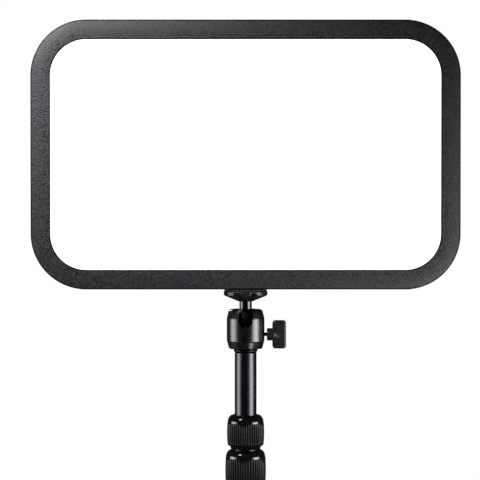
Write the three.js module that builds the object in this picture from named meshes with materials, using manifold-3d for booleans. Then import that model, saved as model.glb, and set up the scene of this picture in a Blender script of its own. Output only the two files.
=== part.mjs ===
// LED panel light on a ball head, a three-section telescopic pole and a desk clamp.
//
// Millimetres, +Z up. The origin is where the pole's axis meets the desk top, on the underside of the
// upper jaw's pad. The panel faces -Y, the clamp's throat opens towards -Y and its spine is at +Y.
import * as THREE from "three";
import { mergeVertices } from "three/addons/utils/BufferGeometryUtils.js";
import Module from "manifold-3d";

const wasm = await Module();
wasm.setup();

// ---------------------------------------------------------------------------------------------
// Driving dimensions
// ---------------------------------------------------------------------------------------------

const GAP = 0.3; // running and assembly clearance between neighbouring pieces
const FINE = 24; // sides of a large turned piece
const COARSE = 10; // sides of a small turned piece
const CORNER_STEPS = 5; // steps in a quarter of a rounded corner

// Panel
const panelWidth = 370;
const panelHeight = 232;
const panelCorner = 48;
const bezelWidth = 17;
const bezelLip = 2.5;
const bezelEdge = 1;
const bezelCrown = 1.6; // how far the border's face falls away at its outer edge
const bezelCrownWidth = 13;
const frameDepth = 12;
const frameWall = 3;
const bezelLap = 4; // how far the border covers the diffuser
const diffuserThickness = 2;
const guideMargin = 1.5; // how far the light guide stays inside the diffuser's edge
const guideThickness = 4;
const reflectorThickness = 0.5;
const backPlateThickness = 1.5;
const coverDepth = 21; // front face to the flat back of the rear cover
const coverWall = 2;
const coverSlopeDepth = 5;
const coverSlope = 5.6;
const mountDepth = 18; // front face to the stud's axis

// Control housing at the foot of the rear cover
const podWidth = 150;
const podHeight = 92;
const podRise = 17; // how far the housing stands behind the rear cover's back
const podCorner = 14;
const capacitorHeight = 10;
const podWall = 2.4;
const podBackWall = 4.2;
const podChamfer = 2.5;
const plateSideMargin = 11; // control plate's edge to the housing's side
const plateEndMargin = 9;
const plateCorner = 10;
const plateThickness = 2;
const plateLedge = 5; // the ledge that the control plate rests on
const plateOpeningCorner = 12;
const boardMargin = 5; // driver board's edge inside the ledge
const boardThickness = 1.6;
const boardSetBack = 9; // driver board to the control plate
const dialRadius = 11;
const dialHeight = 8.5;
const dialMargin = 6; // dial's rim inside the ledge
const buttonRadius = 5;
const buttonTravel = 1;
const buttonOffset = 11;
const inletRadius = 4.6;
const inletHoleRadius = 3.15;
const inletFlange = 1;

// Fasteners and the tripod thread
const screwShank = 1.25;
const screwHead = 2.6;
const screwHeadHeight = 2;
const screwSocket = 0.9;
const studRadius = 3.175;
const studProtrusion = 9.5;
const insertRadius = 4.4;
const insertLength = 12;

// Ball head
const wheelRadius = 19;
const wheelSide = 3.8;
const wheelCone = 5.1;
const wheelScallops = 8;
const wheelTravel = 0.65; // how far half a turn lowers the wheel on the stud's thread
const wheelPadThickness = 1.4;
const neckRadius = 5.4;
const neckLength = 6.9; // housing's top to the wheel's cone
const ballRadius = 11;
const ballDrop = 9.6; // housing's top to the ball's centre
const headWall = 3.8;
const headHeight = 27.9;
const headBaseHeight = 6.3;
const headBaseFoot = 14.1;
const knobDrop = 21.9; // housing's top to the lock knob's axis
const knobHubRadius = 5.4;
const knobHubLength = 5.8;
const knobStandOff = 2.1;
const knobSpan = 24.6;
const knobWidth = 11.9;
const knobThickness = 6;
const lockScrewRadius = 1.7;

// Pole
const tubeWall = 1.2;
const topTubeRadius = 9.5;
const midTubeRadius = topTubeRadius + tubeWall + GAP;
const lowerTubeRadius = midTubeRadius + tubeWall + GAP;
const lowerTubeLength = 282;
const plugHeight = 18;
const midFootRise = 9.5; // mid tube's foot over the pole's plug
const topFootRise = 70; // top tube's foot over the mid tube's foot
const topTubeShown = 54.2; // how far the top tube stands out of its collar
const fittingRing = 2.6;
const collarHeight = 29.4;
const lowerCollarHeight = 33;
const collarWall = 4.9; // collar's barrel over the tube that it is threaded on
const collarRibs = 24;
const collarRibDepth = 0.45;
const collarOverTube = 6.5; // how far the collar stands above that tube's end
const colletWall = 1.2;

// Desk clamp
const jawPad = 2;
const jawThickness = 10;
const clampWidth = 38;
const jawReach = 40; // pole's axis to the jaw's tip
const spineInner = 22; // pole's axis to the spine's inner face
const spineThickness = 10;
const throat = 58.5; // pad's face to the lower jaw
const deskThickness = 25; // gap that the clamp is set to
const footRadius = 17;
const footThickness = 5;
const footPad = 1.5;
const clampScrewRadius = 5;
const clampScrewReach = 10; // pole's axis to the clamp screw's axis
const clampTravelUp = 20;
const handleHeight = 16;
const handleSpan = 52;
const bossRadius = 18;
const bossHeight = 14;
const socketDepth = 10;

// ---------------------------------------------------------------------------------------------
// Heights, worked out from the desk top upwards
// ---------------------------------------------------------------------------------------------

const bossTop = jawPad + jawThickness + bossHeight;
const lowerTubeFoot = bossTop - socketDepth + GAP;
const lowerTubeTop = lowerTubeFoot + lowerTubeLength;
const lowerCollarTop = lowerTubeTop + collarOverTube;
const upperCollarFoot = lowerCollarTop + 1;
const upperCollarTop = upperCollarFoot + collarHeight;
const midTubeTop = upperCollarTop - collarOverTube;
const plugFoot = lowerTubeFoot + GAP;
const midTubeFoot = plugFoot + plugHeight + midFootRise;
const topTubeFoot = midTubeFoot + topFootRise;
const topTubeTop = upperCollarTop + topTubeShown;
const headBaseZ = topTubeTop + fittingRing + 1;
const headFoot = headBaseZ + headBaseHeight;
const headTop = headFoot + headHeight;
const ballCentre = headTop - ballDrop;
const wheelFoot = headTop + neckLength;
const wheelTop = wheelFoot + wheelCone + wheelSide;
const panelFoot = wheelTop + GAP + wheelPadThickness + GAP;
const panelCentre = panelFoot + panelHeight / 2;

// ---------------------------------------------------------------------------------------------
// Solids
// ---------------------------------------------------------------------------------------------

const TURN = Math.PI * 2;
const QUARTER = Math.PI / 2;

// A closed three.js geometry as a solid that can be cut and joined.
function solidOf(geometry) {
  const bare = new THREE.BufferGeometry();
  const plain = geometry.index ? geometry.toNonIndexed() : geometry;
  bare.setAttribute("position", plain.getAttribute("position"));
  const merged = mergeVertices(bare, 1e-4);
  return new wasm.Manifold(
    new wasm.Mesh({
      numProp: 3,
      vertProperties: merged.attributes.position.array,
      triVerts: new Uint32Array(merged.index.array),
    }),
  );
}

function geometryOf(solid) {
  const { vertProperties, triVerts, numProp } = solid.getMesh();
  const points = new Float32Array((vertProperties.length / numProp) * 3);
  for (let i = 0; i < points.length / 3; i++) {
    points.set(vertProperties.subarray(i * numProp, i * numProp + 3), i * 3);
  }
  const geometry = new THREE.BufferGeometry();
  geometry.setAttribute("position", new THREE.BufferAttribute(points, 3));
  geometry.setIndex(new THREE.BufferAttribute(new Uint32Array(triVerts), 1));
  return geometry;
}

function cut(body, ...tools) {
  return geometryOf(tools.reduce((left, tool) => left.subtract(solidOf(tool)), solidOf(body)));
}

function join(body, ...others) {
  return geometryOf(others.reduce((sum, other) => sum.add(solidOf(other)), solidOf(body)));
}

// A solid of revolution about Z. The profile is a list of [radius, z]: it runs up the outside from
// the axis to the axis, or closes on itself when ring is true.
function turned(profile, sides = FINE, ring = false) {
  const loop = ring ? [...profile, profile[0]] : profile;
  const points = loop.map(([r, z]) => new THREE.Vector2(r, z));
  return new THREE.LatheGeometry(points, sides).rotateX(QUARTER);
}

function rod(radius, low, high, sides = COARSE) {
  return turned([[0, low], [radius, low], [radius, high], [0, high]], sides);
}

function pipe(inner, outer, low, high, sides = FINE) {
  return turned([[inner, low], [outer, low], [outer, high], [inner, high]], sides, true);
}

// A rod along X.
function crossRod(radius, from, to, sides = COARSE) {
  return rod(radius, from, to, sides).rotateY(QUARTER);
}

function block(x, y, z, [width, depth, height]) {
  return new THREE.BoxGeometry(width, depth, height).translate(x, y, z);
}

// Points of a rounded rectangle, anticlockwise, centred on x, y.
function roundedOutline(width, height, corner, x = 0, y = 0) {
  const points = [];
  [[1, 1], [-1, 1], [-1, -1], [1, -1]].forEach(([right, up], quarter) => {
    for (let i = 0; i <= CORNER_STEPS; i++) {
      const angle = (quarter + i / CORNER_STEPS) * QUARTER;
      points.push(
        new THREE.Vector2(
          x + right * (width / 2 - corner) + corner * Math.cos(angle),
          y + up * (height / 2 - corner) + corner * Math.sin(angle),
        ),
      );
    }
  });
  return points;
}

// The panel's own outline, moved in from its edge.
function panelOutline(inset) {
  return roundedOutline(panelWidth - 2 * inset, panelHeight - 2 * inset, panelCorner - inset);
}

// A stack of outlines with the same number of points, each at its depth behind the panel's front.
// It runs from the deepest outline to the front one.
function lofted(sections) {
  const sides = sections[0].outline.length;
  const points = sections.flatMap(({ outline, depth }) => outline.flatMap((p) => [p.x, p.y, -depth]));
  const faces = [];
  for (let level = 0; level + 1 < sections.length; level++) {
    for (let i = 0; i < sides; i++) {
      const a = level * sides + i;
      const b = level * sides + ((i + 1) % sides);
      faces.push(a, b, b + sides, a, b + sides, a + sides);
    }
  }
  const last = (sections.length - 1) * sides;
  for (let i = 1; i + 1 < sides; i++) {
    faces.push(0, i + 1, i, last, last + i, last + i + 1);
  }
  const geometry = new THREE.BufferGeometry();
  geometry.setAttribute("position", new THREE.Float32BufferAttribute(points, 3));
  geometry.setIndex(faces);
  return geometry;
}

// A flat slab of one outline between two depths.
function slab(outline, near, far) {
  return lofted([{ outline, depth: far }, { outline, depth: near }]);
}

// A rod through the panel's thickness.
function depthRod(radius, x, y, near, far, sides = COARSE) {
  return rod(radius, -far, -near, sides).translate(x, y, 0);
}

// A ring whose outside is ribbed between two levels. The profile lists [radius, z, share of rib].
function ribbed(profile, bore, ribs, depth) {
  const sides = ribs * 2;
  const rings = profile.map(([radius, z, share]) => ({ radius, z, notch: depth * share }));
  const low = profile[0][1];
  const high = profile[profile.length - 1][1];
  rings.push({ radius: bore, z: high, notch: 0 }, { radius: bore, z: low, notch: 0 });
  const points = rings.flatMap(({ radius, z, notch }) =>
    Array.from({ length: sides }, (_, i) => {
      const angle = (i / sides) * TURN;
      const r = radius - (i % 2) * notch;
      return [r * Math.cos(angle), r * Math.sin(angle), z];
    }).flat(),
  );
  const faces = [];
  rings.forEach((_, level) => {
    const next = (level + 1) % rings.length;
    for (let i = 0; i < sides; i++) {
      const j = (i + 1) % sides;
      const [a, b] = [level * sides + i, level * sides + j];
      const [c, d] = [next * sides + j, next * sides + i];
      faces.push(a, b, c, a, c, d);
    }
  });
  const geometry = new THREE.BufferGeometry();
  geometry.setAttribute("position", new THREE.Float32BufferAttribute(points, 3));
  geometry.setIndex(faces);
  return geometry;
}

// ---------------------------------------------------------------------------------------------
// Finishes
// ---------------------------------------------------------------------------------------------

function finish(color, roughness, metalness) {
  return new THREE.MeshStandardMaterial({ color, roughness, metalness });
}

const powderCoat = finish(0x26272b, 0.55, 0);
const blackPlastic = finish(0x1b1c1f, 0.6, 0);
const glossPlastic = finish(0x0c0c0e, 0.15, 0);
const blackAnodised = finish(0x16161a, 0.35, 1);
const glossPaint = finish(0x08080a, 0.12, 0);
const blackSteel = finish(0x202024, 0.2, 1);
const blackRubber = finish(0x121214, 0.85, 0);
const opalAcrylic = finish(0xfbfbf8, 0.4, 0);
const clearAcrylic = finish(0xeef4f6, 0.05, 0);
const whiteFilm = finish(0xf5f5f2, 0.6, 0);
const bareAluminium = finish(0xb8babd, 0.35, 1);
const circuitBoard = finish(0x14432c, 0.5, 0);
const whiteBoard = finish(0xe8eae6, 0.45, 0);
const brass = finish(0xc09a4a, 0.3, 1);
const nylon = finish(0xd9d6cc, 0.5, 0);
const acetal = finish(0x2a2a2c, 0.45, 0);
const zincScrew = finish(0x2b2b2e, 0.3, 1);

const light = new THREE.Group();

function add(parent, name, geometry, material) {
  const mesh = new THREE.Mesh(geometry, material);
  mesh.name = name;
  parent.add(mesh);
  return mesh;
}

// ---------------------------------------------------------------------------------------------
// Desk clamp
// ---------------------------------------------------------------------------------------------

const jawTop = jawPad + jawThickness;
const spineOuter = spineInner + spineThickness;
const lowerJawTop = -throat;
const lowerJawFoot = lowerJawTop - jawThickness;
const clampRound = 8;
const throatFillet = 5;
const boltRadius = 4;
const boltHeadRadius = 6.5;
const boltHeadHeight = 4;

// The C-shaped casting: its outline lies in the Y-Z plane and is extruded across its width, with a
// round boss on top that the pole stands in.
function clampFrame() {
  const lowerReach = -(clampScrewReach + bossRadius);
  const outline = new THREE.Shape();
  outline.moveTo(-jawReach, jawPad);
  outline.lineTo(-jawReach, jawTop - clampRound / 2);
  outline.absarc(-jawReach + clampRound / 2, jawTop - clampRound / 2, clampRound / 2, Math.PI, QUARTER, true);
  outline.lineTo(spineOuter - clampRound, jawTop);
  outline.absarc(spineOuter - clampRound, jawTop - clampRound, clampRound, QUARTER, 0, true);
  outline.lineTo(spineOuter, lowerJawFoot + clampRound);
  outline.absarc(spineOuter - clampRound, lowerJawFoot + clampRound, clampRound, 0, -QUARTER, true);
  outline.lineTo(lowerReach, lowerJawFoot);
  outline.lineTo(lowerReach, lowerJawTop);
  outline.lineTo(spineInner - throatFillet, lowerJawTop);
  outline.absarc(spineInner - throatFillet, lowerJawTop + throatFillet, throatFillet, -QUARTER, 0, false);
  outline.lineTo(spineInner, jawPad - throatFillet);
  outline.absarc(spineInner - throatFillet, jawPad - throatFillet, throatFillet, 0, QUARTER, false);
  outline.lineTo(-jawReach, jawPad);
  const options = { depth: clampWidth, bevelEnabled: false, curveSegments: 6 };
  // The shape's x and y become Y and Z, and its extrusion runs along X.
  const casting = new THREE.ExtrudeGeometry(outline, options)
    .translate(0, 0, -clampWidth / 2)
    .rotateX(QUARTER)
    .rotateZ(QUARTER);
  const boss = rod(bossRadius, jawTop - 1, bossTop, FINE);
  const socket = rod(lowerTubeRadius + GAP, bossTop - socketDepth, bossTop + 1, FINE);
  const boltHole = rod(boltRadius + GAP, jawPad - 1, bossTop, COARSE);
  const boltPocket = rod(boltHeadRadius + GAP, jawPad - 1, jawPad + boltHeadHeight + GAP, COARSE);
  const screwHole = rod(clampScrewRadius + GAP, lowerJawFoot - 1, lowerJawTop + 1, FINE).translate(
    0,
    -clampScrewReach,
    0,
  );
  return cut(join(casting, boss), socket, boltHole, boltPocket, screwHole);
}

const clamp = new THREE.Group();
light.add(clamp);
add(clamp, "clamp_frame", clampFrame(), powderCoat);

const padMargin = 2;
const padLength = jawReach + spineInner - throatFillet - 2 * padMargin;
const topPad = block(0, 0, 0, [clampWidth - 2 * padMargin, padLength, jawPad - GAP]);
topPad.translate(0, -jawReach + padMargin + padLength / 2, (jawPad - GAP) / 2);
add(clamp, "clamp_top_pad", topPad, blackRubber);

const plugRadius = lowerTubeRadius - tubeWall - GAP;
const boltTip = plugFoot + plugHeight - 4;
const pole_bolt = turned(
  [
    [0, jawPad],
    [boltHeadRadius, jawPad],
    [boltHeadRadius, jawPad + boltHeadHeight],
    [boltRadius, jawPad + boltHeadHeight],
    [boltRadius, boltTip],
    [0, boltTip],
  ],
  COARSE,
);
add(clamp, "pole_bolt", pole_bolt, zincScrew);
const plugBore = rod(boltRadius + GAP, plugFoot - 1, boltTip + GAP);
add(clamp, "pole_plug", cut(rod(plugRadius, plugFoot, plugFoot + plugHeight, FINE), plugBore), acetal);

// Screw, swivel foot and hand wheel, about the screw's own axis.
const press = new THREE.Group();
press.position.set(0, -clampScrewReach, -deskThickness);
clamp.add(press);

const footTop = -footPad - GAP;
const footSocket = 3;
const screwNeck = 3;
const screwFoot = -(throat - deskThickness) - jawThickness - clampTravelUp - 2;
add(press, "clamp_foot_pad", rod(footRadius - 1, -footPad, 0, FINE), blackRubber);
const footDisc = turned(
  [
    [0, footTop - footThickness],
    [footRadius - 5, footTop - footThickness],
    [footRadius, footTop - footThickness / 2],
    [footRadius, footTop],
    [0, footTop],
  ],
);
const footHole = rod(screwNeck + GAP, footTop - footThickness - 1, footTop - footThickness + footSocket);
add(press, "clamp_foot", cut(footDisc, footHole), blackAnodised);

const screwTip = footTop - footThickness + footSocket - GAP;
const screwShoulder = footTop - footThickness - GAP;
const clampScrew = turned(
  [
    [0, screwFoot - handleHeight + 4],
    [clampScrewRadius, screwFoot - handleHeight + 4],
    [clampScrewRadius, screwShoulder],
    [screwNeck, screwShoulder],
    [screwNeck, screwTip],
    [0, screwTip],
  ],
  FINE,
);
add(press, "clamp_screw", clampScrew, blackSteel);

// Five-lobed hand wheel with a hub.
function handWheel() {
  const lobes = 5;
  const hubRadius = 11;
  const lobeRadius = 9;
  const reach = handleSpan / 2 - lobeRadius;
  const rim = turned(
    [
      [0, screwFoot - handleHeight],
      [reach + 2, screwFoot - handleHeight],
      [reach + 4, screwFoot - handleHeight + 2],
      [reach + 4, screwFoot - 7],
      [hubRadius, screwFoot - 4],
      [hubRadius, screwFoot],
      [0, screwFoot],
    ],
  );
  const arms = Array.from({ length: lobes }, (_, i) => {
    const angle = (i / lobes) * TURN;
    return rod(lobeRadius, screwFoot - handleHeight + 1, screwFoot - 7, COARSE).translate(
      reach * Math.cos(angle),
      reach * Math.sin(angle),
      0,
    );
  });
  const bore = rod(clampScrewRadius + GAP, screwFoot - handleHeight + 4 - GAP, screwFoot + 1, FINE);
  return cut(join(rim, ...arms), bore);
}
add(press, "clamp_hand_wheel", handWheel(), blackPlastic);

// ---------------------------------------------------------------------------------------------
// Pole
// ---------------------------------------------------------------------------------------------

const pole = new THREE.Group();
light.add(pole);

function poleTube(radius, low, high) {
  return pipe(radius - tubeWall, radius, low, high);
}

add(pole, "lower_tube", poleTube(lowerTubeRadius, lowerTubeFoot, lowerTubeTop), blackAnodised);
add(pole, "mid_tube", poleTube(midTubeRadius, midTubeFoot, midTubeTop), blackAnodised);
add(pole, "top_tube", poleTube(topTubeRadius, topTubeFoot, topTubeTop), blackAnodised);

// A plastic plug in a sliding tube's foot, with a flange that guides it in the tube outside.
function footBush(radius, foot) {
  const body = 10;
  const flange = 3;
  return turned(
    [
      [radius - tubeWall - GAP - 2, foot - flange - GAP],
      [radius, foot - flange - GAP],
      [radius, foot - GAP],
      [radius - tubeWall - GAP, foot - GAP],
      [radius - tubeWall - GAP, foot + body],
      [radius - tubeWall - GAP - 2, foot + body],
    ],
    FINE,
    true,
  );
}
add(pole, "mid_tube_bush", footBush(midTubeRadius, midTubeFoot), acetal);
add(pole, "top_tube_bush", footBush(topTubeRadius, topTubeFoot), acetal);

// The split ring that a collar squeezes on the sliding tube, standing on the outer tube's end.
const colletLip = 1.7;
function collet(slidingRadius, outerTubeTop) {
  const low = outerTubeTop + GAP;
  const high = outerTubeTop + collarOverTube - colletLip - GAP;
  const ring = pipe(slidingRadius + GAP, slidingRadius + GAP + colletWall, low, high);
  const split = block(0, -slidingRadius - 1, (low + high) / 2, [1.5, 6, high - low + 2]);
  return cut(ring, split);
}
add(pole, "lower_lock_collet", collet(midTubeRadius, lowerTubeTop), acetal);
add(pole, "upper_lock_collet", collet(topTubeRadius, midTubeTop), acetal);

// Twist-lock collar: a ribbed barrel with smooth bevels, threaded on the outer tube, with a lip
// over the collet.
function lockCollar(outerTubeRadius, slidingRadius, top, height) {
  const barrel = outerTubeRadius + collarWall + GAP;
  const foot = top - height;
  const mouth = slidingRadius + 2;
  const profile = [
    [barrel - 2.6, foot, 0],
    [barrel - 0.4, foot + 3, 1],
    [barrel, top - 10, 1],
    [barrel - 0.4, top - 6.4, 1],
    [barrel - 0.6, top - 5.6, 0],
    [barrel - 1.5, top - 2.5, 0],
    [mouth, top, 0],
  ];
  const body = ribbed(profile, slidingRadius + GAP, collarRibs, collarRibDepth);
  const thread = rod(outerTubeRadius + GAP, foot - 1, top - collarOverTube, FINE);
  const seat = rod(slidingRadius + colletWall + 2 * GAP, top - collarOverTube - 1, top - colletLip, FINE);
  return cut(body, thread, seat);
}
add(
  pole,
  "lower_lock_collar",
  lockCollar(lowerTubeRadius, midTubeRadius, lowerCollarTop, lowerCollarHeight),
  blackRubber,
);
add(
  pole,
  "upper_lock_collar",
  lockCollar(midTubeRadius, topTubeRadius, upperCollarTop, collarHeight),
  blackRubber,
);

// Plug and flared ring at the pole's top, with the stud that the ball head turns on.
const fittingPlug = 20;
const headStudRadius = 3;
const headStudTop = headFoot + 1;
const poleFitting = turned(
  [
    [0, topTubeTop - fittingPlug],
    [topTubeRadius - tubeWall - GAP, topTubeTop - fittingPlug],
    [topTubeRadius - tubeWall - GAP, topTubeTop + GAP],
    [topTubeRadius, topTubeTop + GAP],
    [topTubeRadius + 0.9, topTubeTop + fittingRing],
    [headStudRadius, topTubeTop + fittingRing],
    [headStudRadius, headStudTop],
    [0, headStudTop],
  ],
);
add(pole, "pole_top_fitting", poleFitting, blackAnodised);

// ---------------------------------------------------------------------------------------------
// Ball head
// ---------------------------------------------------------------------------------------------

const head = new THREE.Group();
light.add(head);

const cavityRadius = ballRadius + 1.6;
const headRadius = cavityRadius + headWall;
const spigotHeight = 3;
const headBase = cut(
  turned(
    [
      [0, headBaseZ],
      [headBaseFoot, headBaseZ],
      [headRadius - 0.1, headFoot - GAP],
      [cavityRadius - GAP, headFoot - GAP],
      [cavityRadius - GAP, headFoot + spigotHeight],
      [0, headFoot + spigotHeight],
    ],
  ),
  rod(headStudRadius + GAP, headBaseZ - 1, headStudTop + GAP),
);
add(head, "head_base", headBase, glossPaint);

// Points of an arc about the ball's centre, as [radius, z], between two angles above the horizon.
function ballArc(radius, from, to, steps) {
  return Array.from({ length: steps + 1 }, (_, i) => {
    const angle = THREE.MathUtils.degToRad(from + ((to - from) * i) / steps);
    return [radius * Math.cos(angle), ballCentre + radius * Math.sin(angle)];
  });
}

const knobZ = headTop - knobDrop;
const seatLipAngle = 30;
const mouthRadius = neckRadius + 5.85;
const notchRadius = neckRadius + 0.65;
const grubRadius = 2.5;
const grubZ = knobZ - 2.2;

// The housing: a cavity under the ball, a spherical seat above it, a flared mouth, the front notch
// that the neck drops into, and holes for the lock screw and the grub screw.
function headHousing() {
  const seat = ballRadius + GAP;
  const body = turned(
    [
      [cavityRadius, headFoot],
      [headRadius, headFoot],
      [headRadius, headTop - 8.6],
      [headRadius - 0.5, headTop - 6],
      [headRadius - 1.4, headTop - 2],
      [headRadius - 2.2, headTop - 0.7],
      [headRadius - 3.8, headTop],
      [mouthRadius, headTop],
      ...ballArc(seat, seatLipAngle, 0, 3),
      [cavityRadius, ballCentre - 1.3],
    ],
    FINE,
    true,
  );
  const notchLength = headRadius + 2;
  const notchDrop = rod(notchRadius, 0, notchLength, COARSE).rotateX(QUARTER).translate(0, 0, ballCentre);
  const notchSlot = block(0, -notchLength / 2, ballCentre + ballDrop / 2 + 1, [
    notchRadius * 2,
    notchLength,
    ballDrop + 2,
  ]);
  const lockHole = crossRod(lockScrewRadius + GAP, cavityRadius - 2, headRadius + 2).translate(0, 0, knobZ);
  const grubHole = rod(grubRadius + GAP, cavityRadius - 2, headRadius + 2).rotateX(QUARTER);
  return cut(body, notchDrop, notchSlot, lockHole, grubHole.translate(0, 0, grubZ));
}
add(head, "head_housing", headHousing(), glossPaint);

const grubHex = 1.3;
const grubFace = headRadius - 0.8;
const grubScrew = cut(
  rod(grubRadius, cavityRadius + GAP, grubFace),
  rod(grubHex, grubFace - 1.4, grubFace + 1, 6),
).rotateX(QUARTER);
add(head, "head_grub_screw", grubScrew.translate(0, 0, grubZ), zincScrew);

// The cup that is squeezed up against the ball, with the pocket that the lock plug wedges into.
const plugPocket = 2.8;
const lockPlugInner = 9;
const cupTopAngle = -33;
const ballCup = cut(
  turned([
    [0, headFoot + spigotHeight + GAP],
    [cavityRadius - GAP, headFoot + spigotHeight + GAP],
    [cavityRadius - GAP, ballCentre + (ballRadius + GAP) * Math.sin(THREE.MathUtils.degToRad(cupTopAngle))],
    ...ballArc(ballRadius + GAP, cupTopAngle, -90, 4),
  ]),
  crossRod(plugPocket, lockPlugInner - 1, cavityRadius + 1).translate(0, 0, knobZ),
);
add(head, "ball_cup", ballCup, nylon);

// Lock plug, screw and wing knob, about the lock screw's axis along X.
const lock = new THREE.Group();
lock.position.set(0, 0, knobZ);
head.add(lock);

const plugOuter = cavityRadius - 1.2;
const hubStart = headRadius + knobStandOff;
const hubEnd = hubStart + knobHubLength;
add(lock, "lock_plug", crossRod(plugPocket - GAP, lockPlugInner, plugOuter), brass);
const lockScrewEnd = hubEnd + 4;
add(lock, "lock_screw", crossRod(lockScrewRadius, plugOuter + GAP, lockScrewEnd), blackSteel);

// Wing knob: a flat rounded wing across a round hub.
function wingKnob() {
  const wing = new THREE.Shape(roundedOutline(knobWidth, knobSpan, 2.2, hubEnd - 1 + knobWidth / 2, 0));
  const options = {
    depth: knobThickness - 2,
    bevelEnabled: true,
    bevelThickness: 1,
    bevelSize: 1,
    bevelOffset: -1,
    bevelSegments: 1,
  };
  const blade = new THREE.ExtrudeGeometry(wing, options)
    .translate(0, 0, -(knobThickness - 2) / 2)
    .rotateX(QUARTER);
  const hub = crossRod(knobHubRadius, hubStart, hubEnd + 0.5, FINE);
  const boss = turned(
    [[0, hubEnd], [knobHubRadius - 1, hubEnd], [2.5, hubEnd + 6], [0, hubEnd + 6]],
    COARSE,
  ).rotateY(QUARTER);
  const bore = crossRod(lockScrewRadius + GAP, hubStart - 1, lockScrewEnd + GAP);
  return cut(join(blade, hub, boss), bore);
}
add(lock, "lock_knob", wingKnob(), blackPlastic);

// Ball, neck and stud. The neck stands on the ball, hollowed to its curve.
add(head, "ball", turned(ballArc(ballRadius, -90, 90, 12)), blackSteel);

const neckTop = wheelFoot + wheelCone - 1.5;
const studFoot = ballCentre + ballRadius + 1.7;
const neckMeet = Math.acos(neckRadius / (ballRadius + GAP)) * THREE.MathUtils.RAD2DEG;
const neck = cut(
  turned([
    ...ballArc(ballRadius + GAP, 90, neckMeet, 4),
    [neckRadius, neckTop],
    [0, neckTop],
  ]),
  rod(studRadius + GAP, studFoot - GAP, neckTop + 1),
);
add(head, "neck", neck, blackSteel);

const padTop = wheelTop + GAP + wheelPadThickness;
const stud = rod(studRadius, studFoot, padTop + studProtrusion, COARSE);
add(head, "mount_stud", stud, blackSteel);

// Lock wheel: a shallow cone under a short rim, with finger scallops round it.
function lockWheel() {
  const cone = turned([
    [0, wheelFoot],
    [neckRadius + 1, wheelFoot],
    [wheelRadius, wheelFoot + wheelCone],
    [wheelRadius, wheelTop],
    [0, wheelTop],
  ]);
  const neckBore = rod(neckRadius + GAP, wheelFoot - 1, neckTop + wheelTravel + GAP, FINE);
  const studBore = rod(studRadius + GAP, wheelFoot, wheelTop + 1);
  const scallops = Array.from({ length: wheelScallops }, (_, i) => {
    const angle = ((i + 0.5) / wheelScallops) * TURN;
    return rod(3.6, 0, 14)
      .rotateY(THREE.MathUtils.degToRad(66))
      .translate(wheelRadius - 9.5, 0, wheelFoot - 1.6)
      .rotateZ(angle);
  });
  return cut(cone, neckBore, studBore, ...scallops);
}
add(head, "lock_wheel", lockWheel(), blackPlastic);
add(head, "wheel_pad", pipe(studRadius + GAP, wheelRadius - 0.5, wheelTop + GAP, padTop), blackRubber);

// ---------------------------------------------------------------------------------------------
// Panel. In this group x is to the right, y is up and z is towards the front; depths count back
// from the front face.
// ---------------------------------------------------------------------------------------------

const panel = new THREE.Group();
panel.position.set(0, -mountDepth, panelCentre);
panel.rotation.x = QUARTER;
light.add(panel);

const diffuserInset = bezelWidth - bezelLap;
const guideInset = diffuserInset + guideMargin;
const diffuserDepth = bezelLip + GAP;
const guideDepth = diffuserDepth + diffuserThickness + GAP;
const reflectorDepth = guideDepth + guideThickness + GAP;
const backPlateDepth = reflectorDepth + reflectorThickness + GAP;
const coverStart = frameDepth + GAP;

// The six screws that close the panel, as [x, y]. They stand between the frame's wall and the sheets.
const postRadius = 3.2;
const screwInset = diffuserInset - postRadius - 0.8;
const screwColumn = panelWidth / 2 - panelCorner - 17;
const coverScrews = [
  [-screwColumn, panelHeight / 2 - screwInset],
  [screwColumn, panelHeight / 2 - screwInset],
  [-panelWidth / 2 + screwInset, 0],
  [panelWidth / 2 - screwInset, 0],
  [-screwColumn, -panelHeight / 2 + screwInset],
  [screwColumn, -panelHeight / 2 + screwInset],
];
const screwSeat = coverDepth - 4.5;

function frontFrame() {
  const crown = [bezelEdge, 4, 8, bezelCrownWidth].map((inset) => ({
    outline: panelOutline(inset),
    depth: bezelCrown * ((bezelCrownWidth - inset) / (bezelCrownWidth - bezelEdge)) ** 2,
  }));
  const outer = lofted([
    { outline: panelOutline(0), depth: frameDepth },
    { outline: panelOutline(0), depth: bezelCrown + bezelEdge },
    ...crown,
  ]);
  const window = slab(panelOutline(bezelWidth), -1, frameDepth);
  const recess = slab(panelOutline(frameWall), bezelLip, frameDepth + 1);
  const posts = coverScrews.map(([x, y]) => depthRod(postRadius, x, y, bezelLip - 0.5, frameDepth));
  const pilots = coverScrews.map(([x, y]) => depthRod(screwShank + GAP, x, y, bezelLip + 1, frameDepth + 1));
  return cut(join(cut(outer, window, recess), ...posts), ...pilots);
}
add(panel, "front_frame", frontFrame(), powderCoat);

function sheet(inset, depth, thickness) {
  return slab(panelOutline(inset), depth, depth + thickness);
}
add(panel, "diffuser", sheet(diffuserInset, diffuserDepth, diffuserThickness), opalAcrylic);
add(panel, "light_guide", sheet(guideInset, guideDepth, guideThickness), clearAcrylic);
add(panel, "reflector_sheet", sheet(guideInset, reflectorDepth, reflectorThickness), whiteFilm);
const wireHole = depthRod(7, 0, -panelHeight / 2 + 40, backPlateDepth - 1, backPlateDepth + backPlateThickness + 1);
add(panel, "back_plate", cut(sheet(diffuserInset, backPlateDepth, backPlateThickness), wireHole), bareAluminium);

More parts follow.
